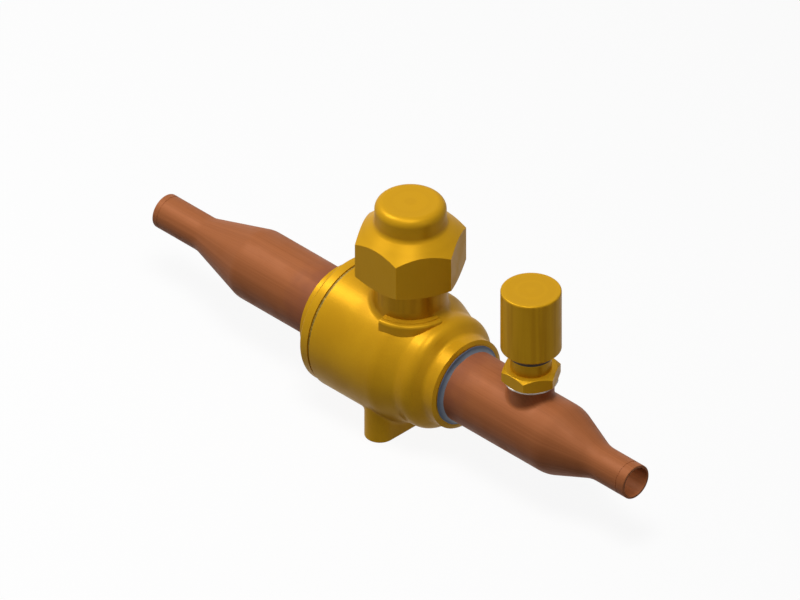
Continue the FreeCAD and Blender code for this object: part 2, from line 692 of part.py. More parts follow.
def access_port():
    """Turned hexagon fitting: spigot, hexagon, neck, thread, flared nose and stepped bore."""
    corner_r = PORT_FLATS / math.sqrt(3)
    slope = math.tan(math.radians(PORT_HEX_CHAMFER))
    chamfer = (corner_r - PORT_HEX_FACE_R) * slope
    envelope = turned_z([
        (0, hex_low, 0),
        (PORT_HEX_FACE_R, hex_low, 0),
        (corner_r, hex_low + chamfer, 0),
        (corner_r, hex_high - chamfer, 0),
        (PORT_HEX_FACE_R, hex_high, 0),
        (0, hex_high, 0),
    ], PORT_X)
    hexagon = hex_prism(PORT_FLATS, hex_low, hex_high, PORT_X).common(envelope)
    spigot_low = hex_low - PORT_SPIGOT_LENGTH
    column = turned_z([
        (0, spigot_low, 0),
        (pulled_bore_r - BRAZE_GAP, spigot_low, 0),
        (pulled_bore_r - BRAZE_GAP, hex_low, 0),
        (PORT_NECK_R, hex_low, 0),
        (PORT_NECK_R, port_neck_high, PORT_NECK_ROUND),
        (port_root_r, port_neck_high, 0),
        (port_root_r, port_flare_low, 0),
        (port_root_r - PORT_FLARE, port_top, 0),
        (0, port_top, 0),
    ], PORT_X)
    plug_bore = CORE_PLUG_R + SLIDE_GAP
    bore = turned_z([
        (0, spigot_low - 1, 0),
        (PORT_BORE_R, spigot_low - 1, 0),
        (PORT_BORE_R, core_seat_low, 0),
        (plug_bore, core_seat_high, 0),
        (plug_bore, port_top + 1, 0),
        (0, port_top + 1, 0),
    ], PORT_X)
    return hexagon.fuse(column).cut(bore).removeSplitter()


def port_braze_ring():
    """Braze metal between the pulled collar and the underside of the port's hexagon."""
    return ring_z(PORT_BRAZE_R, pulled_bore_r, collar_top, hex_low, PORT_X)


def core_body():
    """Valve core body: threaded plug with two key flats, and the barrel that holds the spring."""
    hole = CORE_PIN_R + CORE_HOLE_GAP
    solid = rod_z(CORE_PLUG_R, core_plug_low, core_plug_high, PORT_X)
    solid = solid.fuse(rod_z(CORE_BARREL_R, core_barrel_low, core_plug_low, PORT_X))
    solid = solid.cut(rod_z(hole, core_barrel_low - 1, core_plug_high + 1, PORT_X))
    solid = solid.cut(rod_z(CORE_BARREL_BORE_R, core_floor_high, core_plug_low, PORT_X))
    low = core_plug_high - CORE_FLATS_HEIGHT
    for side in (-1, 1):
        flat = block(2 * CORE_PLUG_R, CORE_PLUG_R, low, core_plug_high + 1)
        flat.translate(Vector(PORT_X, side * (CORE_FLATS + CORE_PLUG_R) / 2, 0))
        solid = solid.cut(flat)
    return solid


def core_gasket():
    """Tapered sealing collar on the core's barrel, seated in the port's bore."""
    high_r = CORE_PLUG_R
    low_r = PORT_BORE_R
    slope = (high_r - low_r) / CORE_SEAT_HEIGHT
    low = core_seat_low - (CORE_GASKET_HEIGHT - CORE_SEAT_HEIGHT) / 2
    return turned_z([
        (CORE_BARREL_R, low, 0),
        (low_r - SLIDE_GAP, low, 0),
        (low_r - SLIDE_GAP, core_seat_low, 0),
        (low_r - SLIDE_GAP + slope * CORE_SEAT_HEIGHT, core_seat_high, 0),
        (high_r - SLIDE_GAP, low + CORE_GASKET_HEIGHT, 0),
        (CORE_BARREL_R, low + CORE_GASKET_HEIGHT, 0),
    ], PORT_X)


def core_pin():
    """Core pin with the spring's collar and the cup that carries its seal."""
    seal_low = core_barrel_low - FACE_GAP - CORE_SEAL_HEIGHT
    cup_low = seal_low - CORE_CUP_HEIGHT
    collar_high = core_spring_high + CORE_PIN_COLLAR_HEIGHT
    return turned_z([
        (0, cup_low, 0),
        (CORE_CUP_R, cup_low, 0),
        (CORE_CUP_R, seal_low, 0),
        (CORE_PIN_R, seal_low, 0),
        (CORE_PIN_R, core_spring_high, 0),
        (CORE_PIN_COLLAR_R, core_spring_high, 0),
        (CORE_PIN_COLLAR_R, collar_high, 0),
        (CORE_PIN_R, collar_high, 0),
        (CORE_PIN_R, port_top - CORE_PIN_TOP_DEPTH, CORE_PIN_ROUND),
        (0, port_top - CORE_PIN_TOP_DEPTH, 0),
    ], PORT_X)


def core_pin_seal():
    """Soft ring in the cup that closes the barrel's lower end."""
    high = core_barrel_low - FACE_GAP
    return ring_z(CORE_CUP_R, CORE_PIN_R, high - CORE_SEAL_HEIGHT, high, PORT_X)


def core_spring():
    """Coil spring round the pin: half turns that each climb half a pitch and meet in line."""
    base = core_floor_high + CORE_SPRING_WIRE_R
    climb = (CORE_SPRING_LENGTH - 2 * CORE_SPRING_WIRE_R) / (2 * CORE_SPRING_TURNS)
    across = Vector(0, 1, 0)
    spring = None
    for half_turn in range(2 * CORE_SPRING_TURNS):
        side = 1 if half_turn % 2 == 0 else -1
        start = Vector(PORT_X + side * CORE_SPRING_R, 0, base + half_turn * climb)
        end = Vector(PORT_X - side * CORE_SPRING_R, 0, start.z + climb)
        tilted_axis = (across * side).cross((end - start).normalize())
        section = Part.Face(Part.Wire(Part.makeCircle(CORE_SPRING_WIRE_R, start, across)))
        coil = section.revolve((start + end) / 2, tilted_axis, 180)
        spring = coil if spring is None else spring.fuse(coil)
    return spring


def port_cap():
    """Plain round cap of the access port, with a mouth recess that holds its seal."""
    blank = turned_z([
        (0, port_cap_face, 0),
        (PORT_CAP_R - PORT_CAP_CHAMFER, port_cap_face, 0),
        (PORT_CAP_R, port_cap_face + PORT_CAP_CHAMFER, 0),
        (PORT_CAP_R, port_cap_top, PORT_CAP_ROUND),
        (0, port_cap_top, 0),
    ], PORT_X)
    recess = port_cap_face + PORT_SEAL_RECESS
    nose_low = port_flare_low - (port_cap_root_r - port_root_r) + PORT_CAP_FLARE_GAP
    nose_high = nose_low + port_cap_root_r - PORT_CAP_FLARE_R
    cavity = turned_z([
        (0, port_cap_face - 1, 0),
        (PORT_SEAL_R + SLIDE_GAP, port_cap_face - 1, 0),
        (PORT_SEAL_R + SLIDE_GAP, recess, 0),
        (port_cap_root_r, recess, 0),
        (port_cap_root_r, nose_low, 0),
        (PORT_CAP_FLARE_R, nose_high, 0),
        (PORT_CAP_FLARE_R, port_cap_ceiling, 0),
        (0, port_cap_ceiling, 0),
    ], PORT_X)
    return blank.cut(cavity)


def port_cap_seal():
    """Seal ring held in the port cap's mouth, just above the step of the port's neck."""
    low = port_neck_high + FACE_GAP
    high = port_cap_face + PORT_SEAL_RECESS
    inner = PORT_SEAL_R - PORT_SEAL_WALL
    return turned_z([
        (inner, low, PORT_SEAL_ROUND),
        (PORT_SEAL_R, low, PORT_SEAL_ROUND),
        (PORT_SEAL_R, high, 0),
        (inner, high, 0),
    ], PORT_X)


PIECES = {
    "valve_body": valve_body,
    "end_closure": end_closure,
    "closure_weld": closure_weld,
    "ball": ball,
    "left_ball_seat": lambda: ball_seat(-1),
    "right_ball_seat": lambda: ball_seat(1),
    "stem": stem,
    "stem_thrust_washer": stem_thrust_washer,
    "lower_stem_seal": lambda: stem_seal(lower_seal),
    "upper_stem_seal": lambda: stem_seal(upper_seal),
    "stop_plate": stop_plate,
    "stem_retaining_ring": stem_retaining_ring,
    "seal_cap": seal_cap,
    "seal_cap_gasket": seal_cap_gasket,
    "left_tube": left_tube,
    "left_braze_ring": lambda: braze_ring(closure_end, -1),
    "right_tube": right_tube,
    "right_braze_ring": lambda: braze_ring(collar_end, 1),
    "access_port": access_port,
    "port_braze_ring": port_braze_ring,
    "core_body": core_body,
    "core_gasket": core_gasket,
    "core_pin": core_pin,
    "core_pin_seal": core_pin_seal,
    "core_spring": core_spring,
    "port_cap": port_cap,
    "port_cap_seal": port_cap_seal,
}


def write_parts():
    """Build every piece and save it under its own name."""
    os.makedirs("parts", exist_ok=True)
    for name, make in PIECES.items():
        solid = make()
        solid.exportStep("parts/" + name + ".step")
        box = solid.BoundBox
        print("%-20s solids %d valid %s volume %9.2f  x %7.2f %7.2f  y %7.2f %7.2f  z %7.2f %7.2f" % (
            name, len(solid.Solids), solid.isValid(), solid.Volume,
            box.XMin, box.XMax, box.YMin, box.YMax, box.ZMin, box.ZMax))


write_parts()
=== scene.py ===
"""Looks of a refrigerant ball service valve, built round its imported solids.

Lengths in the dataclasses are millimetres and become metres in the meshes. X runs along the flow, Z up
the spindle, and the origin is the centre of the ball. The solids keep their shapes and get finishes.
Screw threads, braze fillets, the weld bead and the core's spring are new surfaces.
"""
import logging
import math
from dataclasses import KW_ONLY, dataclass
from enum import Enum
from typing import Callable, ClassVar, Sequence

import bpy
import numpy as np
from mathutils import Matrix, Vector


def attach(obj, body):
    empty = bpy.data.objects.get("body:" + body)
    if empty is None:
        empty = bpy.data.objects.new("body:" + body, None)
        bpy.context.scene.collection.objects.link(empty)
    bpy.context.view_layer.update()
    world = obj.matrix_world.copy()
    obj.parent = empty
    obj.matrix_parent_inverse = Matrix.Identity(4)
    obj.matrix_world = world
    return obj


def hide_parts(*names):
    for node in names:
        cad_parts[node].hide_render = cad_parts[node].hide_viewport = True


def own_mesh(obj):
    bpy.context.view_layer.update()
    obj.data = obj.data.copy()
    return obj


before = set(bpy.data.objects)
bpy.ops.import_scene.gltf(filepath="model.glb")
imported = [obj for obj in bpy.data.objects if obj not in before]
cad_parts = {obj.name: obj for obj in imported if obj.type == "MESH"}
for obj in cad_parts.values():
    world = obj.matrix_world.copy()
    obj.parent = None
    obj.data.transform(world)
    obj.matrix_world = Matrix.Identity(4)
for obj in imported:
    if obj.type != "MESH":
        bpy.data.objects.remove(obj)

log = logging.getLogger("valve")

Colour = tuple[float, float, float, float]
Node = bpy.types.Node
Piece = bpy.types.Object
Socket = bpy.types.NodeSocket
Surface = tuple[object, object, object]

MM = 0.001

# Places and sizes that several classes share, in millimetres
PORT_X = 51.2
TUBE_RADIUS = 11.4
COLLAR_FACE = 24.165
PAD_FACE = -23.7

# Width over which a machined face begins, and the radius that keeps a division off the axis, in millimetres
EDGE = 0.1
LEAST_RADIUS = 0.1

# Degrees from which the edge between two faces is drawn sharp
SHARP_ANGLE = 38


class Body(Enum):
    """The moving bodies that a new piece rides on."""

    VALVE = "valve"
    SEAL_CAP = "seal_cap"
    PORT_CAP = "port_cap"


class ThreadSide(Enum):
    """Whether a thread's ridge stands out of a shank or into a bore."""

    SHANK = 1
    BORE = -1


def tone(red: int, green: int, blue: int) -> Colour:
    """Turn a screen colour from 0 to 255 into a linear one.

    Args:
        red: Red as seen on screen.
        green: Green as seen on screen.
        blue: Blue as seen on screen.

    Returns:
        The linear colour with full opacity.
    """
    linear = []
    for part in (red, green, blue):
        share = part / 255
        linear.append(share / 12.92 if share <= 0.04045 else ((share + 0.055) / 1.055) ** 2.4)
    return (linear[0], linear[1], linear[2], 1.0)


def grey(level: float) -> Colour:
    """Return the linear grey of one level."""
    return (level, level, level, 1.0)


# Node wiring

class Wiring:
    """Short calls that add nodes to one shader tree and return their output sockets."""

    def __init__(self, tree: bpy.types.NodeTree) -> None:
        """Keep the tree that the calls add to."""
        self.tree = tree

    def node(self, kind: str, **settings: object) -> Node:
        """Add a node and set its plain properties.

        Args:
            kind: The node's type, such as ShaderNodeMath.
            settings: Property names and their values.

        Returns:
            The new node.
        """
        made = self.tree.nodes.new(kind)
        for name, value in settings.items():
            setattr(made, name, value)
        return made

    def feed(self, socket: Socket, value: object) -> None:
        """Link an output socket to an input, or write a plain value into it."""
        if isinstance(value, Socket):
            self.tree.links.new(value, socket)
        else:
            socket.default_value = value

    def math(self, operation: str, *values: object) -> Socket:
        """Add a Math node fed with sockets or numbers and return its result."""
        made = self.node("ShaderNodeMath", operation=operation)
        for socket, value in zip(made.inputs, values):
            self.feed(socket, value)
        return made.outputs[0]

    def plus(self, first: object, second: object) -> Socket:
        """Return the sum of two numbers."""
        return self.math("ADD", first, second)

    def minus(self, first: object, second: object) -> Socket:
        """Return the first number without the second."""
        return self.math("SUBTRACT", first, second)

    def times(self, first: object, second: object) -> Socket:
        """Return the product of two numbers."""
        return self.math("MULTIPLY", first, second)

    def rest(self, share: object) -> Socket:
        """Return what a share leaves of 1."""
        return self.minus(1.0, share)

    def length(self, first: object, second: object) -> Socket:
        """Return the root of the sum of two squares."""
        return self.math("SQRT", self.plus(self.times(first, first), self.times(second, second)))

    def step(self, value: object, low: float, high: float) -> Socket:
        """Return a smooth rise from 0 at low to 1 at high."""
        made = self.node("ShaderNodeMapRange", interpolation_type="SMOOTHSTEP")
        for name, given in (("Value", value), ("From Min", low), ("From Max", high)):
            self.feed(made.inputs[name], given)
        return made.outputs[0]

    def patches(self, value: object) -> Socket:
        """Return a noise drawn out to soft-edged patches of 0 and 1."""
        return self.step(value, 0.36, 0.64)

    def blend(self, factor: object, first: object, second: object) -> Socket:
        """Return a mix of two colours by a factor."""
        made = self.node("ShaderNodeMix", data_type="RGBA")
        for index, given in ((0, factor), (6, first), (7, second)):
            self.feed(made.inputs[index], given)
        return made.outputs[2]

    def between(self, factor: object, low: object, high: object) -> Socket:
        """Return the number that lies at a factor between two others."""
        made = self.node("ShaderNodeMix", data_type="FLOAT")
        for index, given in ((0, factor), (2, low), (3, high)):
            self.feed(made.inputs[index], given)
        return made.outputs[0]

    def noise(self, vector: object, scale: float, detail: float = 2.0) -> Socket:
        """Return a three-dimensional noise value of about 0 to 1."""
        made = self.node("ShaderNodeTexNoise")
        for name, given in (("Vector", vector), ("Scale", scale), ("Detail", detail)):
            self.feed(made.inputs[name], given)
        return made.outputs[0]

    def join(self, x: object, y: object, z: object) -> Socket:
        """Return a vector of three numbers."""
        made = self.node("ShaderNodeCombineXYZ")
        for socket, value in zip(made.inputs, (x, y, z)):
            self.feed(socket, value)
        return made.outputs[0]

    def split(self, vector: object) -> tuple[Socket, ...]:
        """Return a vector's three numbers."""
        made = self.node("ShaderNodeSeparateXYZ")
        self.feed(made.inputs[0], vector)
        return tuple(made.outputs)

    def place(self) -> Socket:
        """Return the surface point in millimetres, in the part's own frame."""
        made = self.node("ShaderNodeVectorMath", operation="SCALE")
        self.feed(made.inputs[0], self.node("ShaderNodeTexCoord").outputs["Object"])
        made.inputs["Scale"].default_value = 1 / MM
        return made.outputs[0]

    def group(self, tree: bpy.types.NodeTree, **values: object) -> tuple[Socket, ...]:
        """Return a shared group's outputs, its named inputs fed, with underscores read as spaces."""
        made = self.node("ShaderNodeGroup", node_tree=tree)
        for name, value in values.items():
            self.feed(made.inputs[name.replace("_", " ")], value)
        return tuple(made.outputs)

    def seen(self, path: Node) -> Socket:
        """Return 1 for the camera's, the glossy and the transmitted rays of a Light Path node."""
        seen = self.math("MAXIMUM", path.outputs["Is Camera Ray"], path.outputs["Is Glossy Ray"])
        return self.math("MAXIMUM", seen, path.outputs["Is Transmission Ray"])


class SharedEffects:
    """Surface effects that several finishes use, each built once as a node group."""

    def __init__(self) -> None:
        """Build every shared effect."""
        self.turning = self.make("turning_lines", ("Centre X", "Lines per mm"), ("Height", "Shade"),
                                 self.wire_turning)
        self.drawing = self.make("drawing_lines", ("Lines round",), ("Height", "Shade"), self.wire_drawing)
        self.casting = self.make("cast_skin", ("Grain per mm",), ("Height", "Shade"), self.wire_casting)
        self.handling = self.make("handling", (), ("Smear", "Speck"), self.wire_handling)
        self.heat = self.make("heat_tint", ("Start X", "Reach"), ("Tint",), self.wire_heat)
        self.upright = self.make("upright_lines", ("Centre X", "Lines round"),
                                 ("Height", "Shade", "Radius"), self.wire_upright)
        self.tapping = self.make("tapped_thread", ("Centre Y", "Hole radius", "Pitch"), ("Wall", "Height"),
                                 self.wire_tapping)
        self.hexagon = self.make("hexagon_flats", ("Centre X", "Half flats"), ("Flat", "Corner", "Across"),
                                 self.wire_hexagon)

    def make(self, name: str, inputs: Sequence[str], outputs: Sequence[str],
             wire: Callable[..., Sequence[Socket]]) -> bpy.types.NodeTree:
        """Build one group of plain number sockets.

        Args:
            name: The group's name.
            inputs: Names of its number inputs.
            outputs: Names of its number outputs.
            wire: The method that gets the inputs, fills the group in and returns what it puts out.

        Returns:
            The finished group.
        """
        tree = bpy.data.node_groups.new(name, "ShaderNodeTree")
        for labels, way in ((inputs, "INPUT"), (outputs, "OUTPUT")):
            for label in labels:
                tree.interface.new_socket(name=label, in_out=way, socket_type="NodeSocketFloat")
        w = Wiring(tree)
        given, out = w.node("NodeGroupInput"), w.node("NodeGroupOutput")
        results = wire(w, *(given.outputs[label] for label in inputs))
        for label, result in zip(outputs, results):
            w.feed(out.inputs[label], result)
        return tree

    def wire_turning(self, w: Wiring, centre_x: object, density: object) -> Sequence[Socket]:
        """Fine tool lines round an upright axis: noise of radius and height alone, the same all round."""
        x, y, z = w.split(w.place())
        along = w.times(w.length(w.minus(x, centre_x), y), density)
        up = w.times(z, density)
        fine = w.noise(w.join(along, up, 0.0), 1.0, 3.0)
        broad = w.noise(w.join(along, up, 7.0), 0.17, 1.0)
        return w.plus(fine, w.times(broad, 0.6)), w.step(broad, 0.35, 0.65)

    def wire_drawing(self, w: Wiring, lines: object) -> Sequence[Socket]:
        """Fine lines along the flow: noise of the angle round the tube, stretched about a hundredfold."""
        x, y, z = w.split(w.place())
        turned = w.math("DIVIDE", lines, w.math("MAXIMUM", w.length(y, z), LEAST_RADIUS))
        across, upward = w.times(y, turned), w.times(z, turned)
        fine = w.noise(w.join(w.times(x, 0.03), across, upward), 1.0, 3.0)
        broad = w.noise(w.join(w.times(x, 0.012), across, upward), 0.12, 2.0)
        return w.plus(fine, broad), w.patches(w.between(0.4, broad, fine))

    def wire_casting(self, w: Wiring, density: object) -> Sequence[Socket]:
        """Blasted casting skin: round grains from a cell pattern over soft swells."""
        place = w.place()
        cells = w.node("ShaderNodeTexVoronoi", feature="SMOOTH_F1")
        w.feed(cells.inputs["Vector"], place)
        w.feed(cells.inputs["Scale"], density)
        swell = w.noise(place, 0.35, 2.0)
        grain = w.noise(place, 2.2, 3.0)
        height = w.plus(w.times(cells.outputs["Distance"], 0.7), grain)
        broad = w.noise(place, 0.09, 2.0)
        return w.plus(height, w.times(swell, 1.5)), w.patches(w.between(0.35, broad, grain))

    def wire_handling(self, w: Wiring) -> Sequence[Socket]:
        """Soft smears a few millimetres wide, and sparse specks under half a millimetre."""
        place = w.place()
        return w.step(w.noise(place, 0.16, 3.0), 0.42, 0.68), w.step(w.noise(place, 2.6, 1.0), 0.70, 0.76)

    def wire_heat(self, w: Wiring, start_x: object, reach: object) -> Sequence[Socket]:
        """Brazing heat's oxide: full at a place along the flow, gone one reach away, with a ragged edge."""
        place = w.place()
        distance = w.math("ABSOLUTE", w.minus(w.split(place)[0], start_x))
        ragged = w.times(w.minus(w.noise(place, 0.22, 2.0), 0.5), 0.9)
        share = w.plus(w.math("DIVIDE", distance, reach), ragged)
        return (w.rest(w.step(share, 0.1, 1.0)),)

    def wire_upright(self, w: Wiring, centre_x: object, lines: object) -> Sequence[Socket]:
        """Lines up and down a round shank: noise of the direction from its axis, steady with height. The
        shade, broad upright stripes, is used as a painted reflection.
        """
        x, y, z = w.split(w.place())
        offset = w.minus(x, centre_x)
        radius = w.length(offset, y)
        turned = w.math("DIVIDE", lines, w.math("MAXIMUM", radius, LEAST_RADIUS))
        spot = w.join(w.times(offset, turned), w.times(y, turned), w.times(z, 0.02))
        return w.noise(spot, 5.0, 2.0), w.patches(w.noise(spot, 1.0, 1.0)), radius

    def wire_tapping(self, w: Wiring, centre_y: object, hole: object,
                     pitch: object) -> Sequence[Socket]:
        """Thread of an upright hole: a height that swings once a pitch and climbs one in a turn."""
        x, y, z = w.split(w.place())
        offset = w.minus(y, centre_y)
        share = w.math("DIVIDE", w.length(x, offset), hole)
        wall = w.times(w.step(share, 0.9, 0.96), w.rest(w.step(share, 1.02, 1.06)))
        turn = w.math("DIVIDE", w.math("ARCTAN2", offset, x), 2 * math.pi)
        return wall, w.math("PINGPONG", w.minus(w.math("DIVIDE", z, pitch), turn), 0.5)

    def wire_hexagon(self, w: Wiring, centre_x: object, half_flats: object) -> Sequence[Socket]:
        """Masks of an upright hexagon: 1 on its flats, 1 near its corners, and the distance across a flat.

        The largest of the three projections on the flats' directions equals half the flats on a flat.
        """
        x, y = w.split(w.place())[:2]
        offset = w.minus(x, centre_x)
        largest: object = 0.0
        for turn in (30, 90, 150):
            away = math.radians(turn)
            reach = w.plus(w.times(offset, math.cos(away)), w.times(y, math.sin(away)))
            largest = w.math("MAXIMUM", largest, w.math("ABSOLUTE", reach))
        radius = w.length(offset, y)
        flat = w.step(w.math("DIVIDE", largest, half_flats), 0.996, 0.9985)
        corner = w.step(w.math("DIVIDE", radius, half_flats), 1.135, 1.152)
        squares = w.minus(w.times(radius, radius), w.times(largest, largest))
        return flat, corner, w.math("SQRT", w.math("MAXIMUM", squares, 0.0))


# Finishes

@dataclass(frozen=True)
class Finish:
    """A surface finish. Each kind fills in its own tree round one Principled shader.

    Attributes:
        name: The material's name.
        colour: Main colour.
        second: Colour that the pattern drifts to.
        metal: Share of metal reflection.
        rough: Roughness of the clean surface.
        relief: Depth of the pattern in millimetres.
        sheen: Tint of the gloss.
        gloss: Strength of the gloss over the metal's own, where 0.5 is plain lacquer.
    """

    name: str
    colour: Colour
    second: Colour
    _: KW_ONLY
    metal: float = 0.0
    rough: float
    relief: float
    sheen: Colour = grey(1.0)
    gloss: float = 0.5

    def build(self, effects: SharedEffects) -> bpy.types.Material:
        """Make the material.

        Args:
            effects: The shared effect groups.

        Returns:
            The finished material.
        """
        material = bpy.data.materials.new(self.name)
        material.use_nodes = True
        wiring = Wiring(material.node_tree)
        shader = material.node_tree.nodes["Principled BSDF"]
        shader.inputs["Metallic"].default_value = self.metal
        shader.inputs["Specular Tint"].default_value = self.sheen
        shader.inputs["Specular IOR Level"].default_value = self.gloss
        shade, height, rough = self.pattern(wiring, effects)
        wiring.feed(shader.inputs["Base Color"], shade)
        wiring.feed(shader.inputs["Roughness"], rough)
        bump = wiring.node("ShaderNodeBump")
        bump.inputs["Strength"].default_value = 1.0
        bump.inputs["Distance"].default_value = self.relief * MM
        wiring.feed(bump.inputs["Height"], height)
        wiring.feed(shader.inputs["Normal"], bump.outputs[0])
        self.adjust(shader)
        return material

    def pattern(self, w: Wiring, effects: SharedEffects) -> Surface:
        """Return colour, height and roughness of a plain moulded surface: soft drift and fine specks."""
        smear, speck = w.group(effects.handling)
        grain = w.noise(w.place(), 3.5, 2.0)
        colour = w.blend(w.times(smear, 0.6), self.colour, self.second)
        rough = w.between(speck, self.rough, min(1.0, self.rough + 0.15))
        return colour, grain, rough

    def adjust(self, shader: Node) -> None:
        """Set what a kind of finish changes on the shader itself."""


@dataclass(frozen=True, kw_only=True)
class CastBrass(Finish):
    """Blasted brass casting with a fine grain, machined at its neck, its collar's face and its pad.

    Attributes:
        neck_radius: Radius inside which the upright neck is machined.
        neck_start: Height from which it is.
        collar_face: Place of the machined collar face along the flow.
        pad_face: Height of the machined pad face.
        hole_y: Distance of each tapped hole from the middle of the pad.
        hole_radius: Radius of the tapped holes.
        hole_top: Height that their thread ends at.
        hole_pitch: Pitch of their thread.
        hole_depth: Depth of their thread.
    """

    neck_radius: float = 12.2
    neck_start: float = 21.8
    collar_face: float = COLLAR_FACE
    pad_face: float = PAD_FACE
    hole_y: float = 13.0
    hole_radius: float = 2.1
    hole_top: float = -15.0
    hole_pitch: float = 0.8
    hole_depth: float = 0.4

    def pattern(self, w: Wiring, effects: SharedEffects) -> Surface:
        """Return colour, height and roughness of the cast skin and the machined places."""
        skin, patches = w.group(effects.casting, Grain_per_mm=1.6)
        smear, speck = w.group(effects.handling)
        lines, sheen_stripes, radius = w.group(effects.upright, Centre_X=0.0, Lines_round=5.0)
        x, _, z = w.split(w.place())
        inside = w.rest(w.step(radius, self.neck_radius - 2 * EDGE, self.neck_radius))
        neck = w.times(inside, w.step(z, self.neck_start, self.neck_start + 0.6))
        faced = w.math("MAXIMUM", w.step(x, self.collar_face - 2 * EDGE, self.collar_face - EDGE),
                       w.rest(w.step(z, self.pad_face + EDGE, self.pad_face + 2 * EDGE)))
        machined = w.math("MAXIMUM", neck, faced)
        # On the neck the colour gets upright stripes, a painted reflection; elsewhere the cast skin's
        # patches
        shade = w.between(neck, w.times(patches, 0.55), sheen_stripes)
        height = w.between(machined, skin, w.times(lines, 0.4))
        below = w.rest(w.step(z, self.hole_top - 1.0, self.hole_top))
        for side in (-1, 1):
            wall, thread = w.group(effects.tapping, Centre_Y=side * self.hole_y,
                                   Hole_radius=self.hole_radius, Pitch=self.hole_pitch)
            cut = w.times(thread, 2 * self.hole_depth / self.relief)
            height = w.between(w.times(wall, below), height, cut)
        worn = w.plus(w.times(smear, 0.07), w.times(speck, 0.08))
        rough = w.minus(w.plus(worn, self.rough), w.times(machined, 0.04))
        return w.blend(shade, self.colour, self.second), height, rough


@dataclass(frozen=True, kw_only=True)
class TurnedMetal(Finish):
    """Metal turned on an upright axis, with an optional hexagon whose flats keep the bar's drawn lines, and
    an optional round side whose colour gets upright stripes of painted reflection.

    Attributes:
        centre_x: Place of the axis along the flow.
        lines: Tool lines for each millimetre.
        flats: Width across the hexagon's flats, or 0 without one.
        drawn_and_sheen_radius: Radius of a side that keeps the round bar's upright drawn lines in its bump
            and gets upright stripes of painted reflection in its colour, or 0 without one.
    """

    centre_x: float = 0.0
    lines: float = 3.0
    flats: float = 0.0
    drawn_and_sheen_radius: float = 0.0

    def pattern(self, w: Wiring, effects: SharedEffects) -> Surface:
        """Return colour, height and roughness of the turned surface, the drawn side and the flats."""
        height, shade = w.group(effects.turning, Centre_X=self.centre_x, Lines_per_mm=self.lines)
        smear = w.group(effects.handling)[0]
        shade = w.times(shade, 0.22)
        rough = w.plus(w.times(smear, 0.08), self.rough)
        if self.drawn_and_sheen_radius:
            drawn, sheen_stripes, radius = w.group(effects.upright, Centre_X=self.centre_x, Lines_round=5.0)
            side = w.step(radius, self.drawn_and_sheen_radius - 2 * EDGE, self.drawn_and_sheen_radius - EDGE)
            height = w.between(side, height, drawn)
            # Upright stripes in the side's colour: a painted reflection
            shade = w.between(side, shade, sheen_stripes)
        if self.flats:
            flat, corner, across = w.group(effects.hexagon, Centre_X=self.centre_x,
                                           Half_flats=self.flats / 2)
            z = w.split(w.place())[2]
            bar = w.noise(w.join(w.times(across, 4.0), w.times(z, 0.08), 3.0), 1.0, 2.0)
            height = w.between(flat, height, bar)
            shade = w.minus(w.between(flat, shade, w.times(bar, 0.7)), w.times(corner, 0.4))
            rough = w.minus(rough, w.times(corner, 0.08))
        return w.blend(w.math("MAXIMUM", shade, 0.0), self.colour, self.second), height, rough


@dataclass(frozen=True, kw_only=True)
class DrawnCopper(Finish):
    """Copper tube with lines along it, and the brazing heat's darker tint near its joints.

    Attributes:
        tint: Colour of the heated copper.
        joint_x: Place of the joint along the flow.
        reach: How far the tint runs from the joint.
    """

    tint: Colour
    joint_x: float
    reach: float

    def pattern(self, w: Wiring, effects: SharedEffects) -> Surface:
        """Return colour, height and roughness of the drawn tube."""
        height, shade = w.group(effects.drawing, Lines_round=26.0)
        smear = w.group(effects.handling)[0]
        heat = w.group(effects.heat, Start_X=self.joint_x, Reach=self.reach)[0]
        colour = w.blend(shade, self.colour, self.second)
        colour = w.blend(w.times(heat, 0.55), colour, self.tint)
        rough = w.plus(w.plus(w.times(smear, 0.1), self.rough), w.times(heat, 0.08))
        return colour, height, rough


@dataclass(frozen=True)
class FusedMetal(Finish):
    """Braze or weld metal that ran and set: soft swells with darker flux stains."""

    def pattern(self, w: Wiring, effects: SharedEffects) -> Surface:
        """Return colour, height and roughness of metal that ran and set."""
        place = w.place()
        swell = w.noise(place, 0.9, 3.0)
        stain = w.step(w.noise(place, 0.5, 3.0), 0.4, 0.65)
        rough = w.between(stain, self.rough, self.rough + 0.15)
        return w.blend(stain, self.colour, self.second), swell, rough


@dataclass(frozen=True, kw_only=True)
class BrazeMetal(Finish):
    """Silver braze round a tube: its colour is paler beside the tube as a painted highlight and darker
    towards its outer edge as painted shade, where the metal is also rougher, dulled by flux.

    Attributes:
        tube: Radius of the tube.
        width: Distance from the tube to the outer edge.
        dull_rough: Roughness of the dulled metal.
    """

    tube: float = TUBE_RADIUS
    width: float = 1.5
    dull_rough: float = 0.5

    def pattern(self, w: Wiring, effects: SharedEffects) -> Surface:
        """Return colour, height and roughness of the braze ring."""
        place = w.place()
        y, z = w.split(place)[1:]
        out = w.math("DIVIDE", w.minus(w.length(y, z), self.tube), self.width)
        # Share towards the outer edge: it darkens the colour as painted shade, leaving a painted highlight
        # beside the tube, and raises the roughness
        dulling_and_painted_shade = w.step(w.plus(out, w.times(w.noise(place, 0.6, 2.0), 0.25)), 0.25, 0.95)
        rough = w.between(dulling_and_painted_shade, self.rough, self.dull_rough)
        return w.blend(dulling_and_painted_shade, self.colour, self.second), w.noise(place, 0.9, 2.0), rough


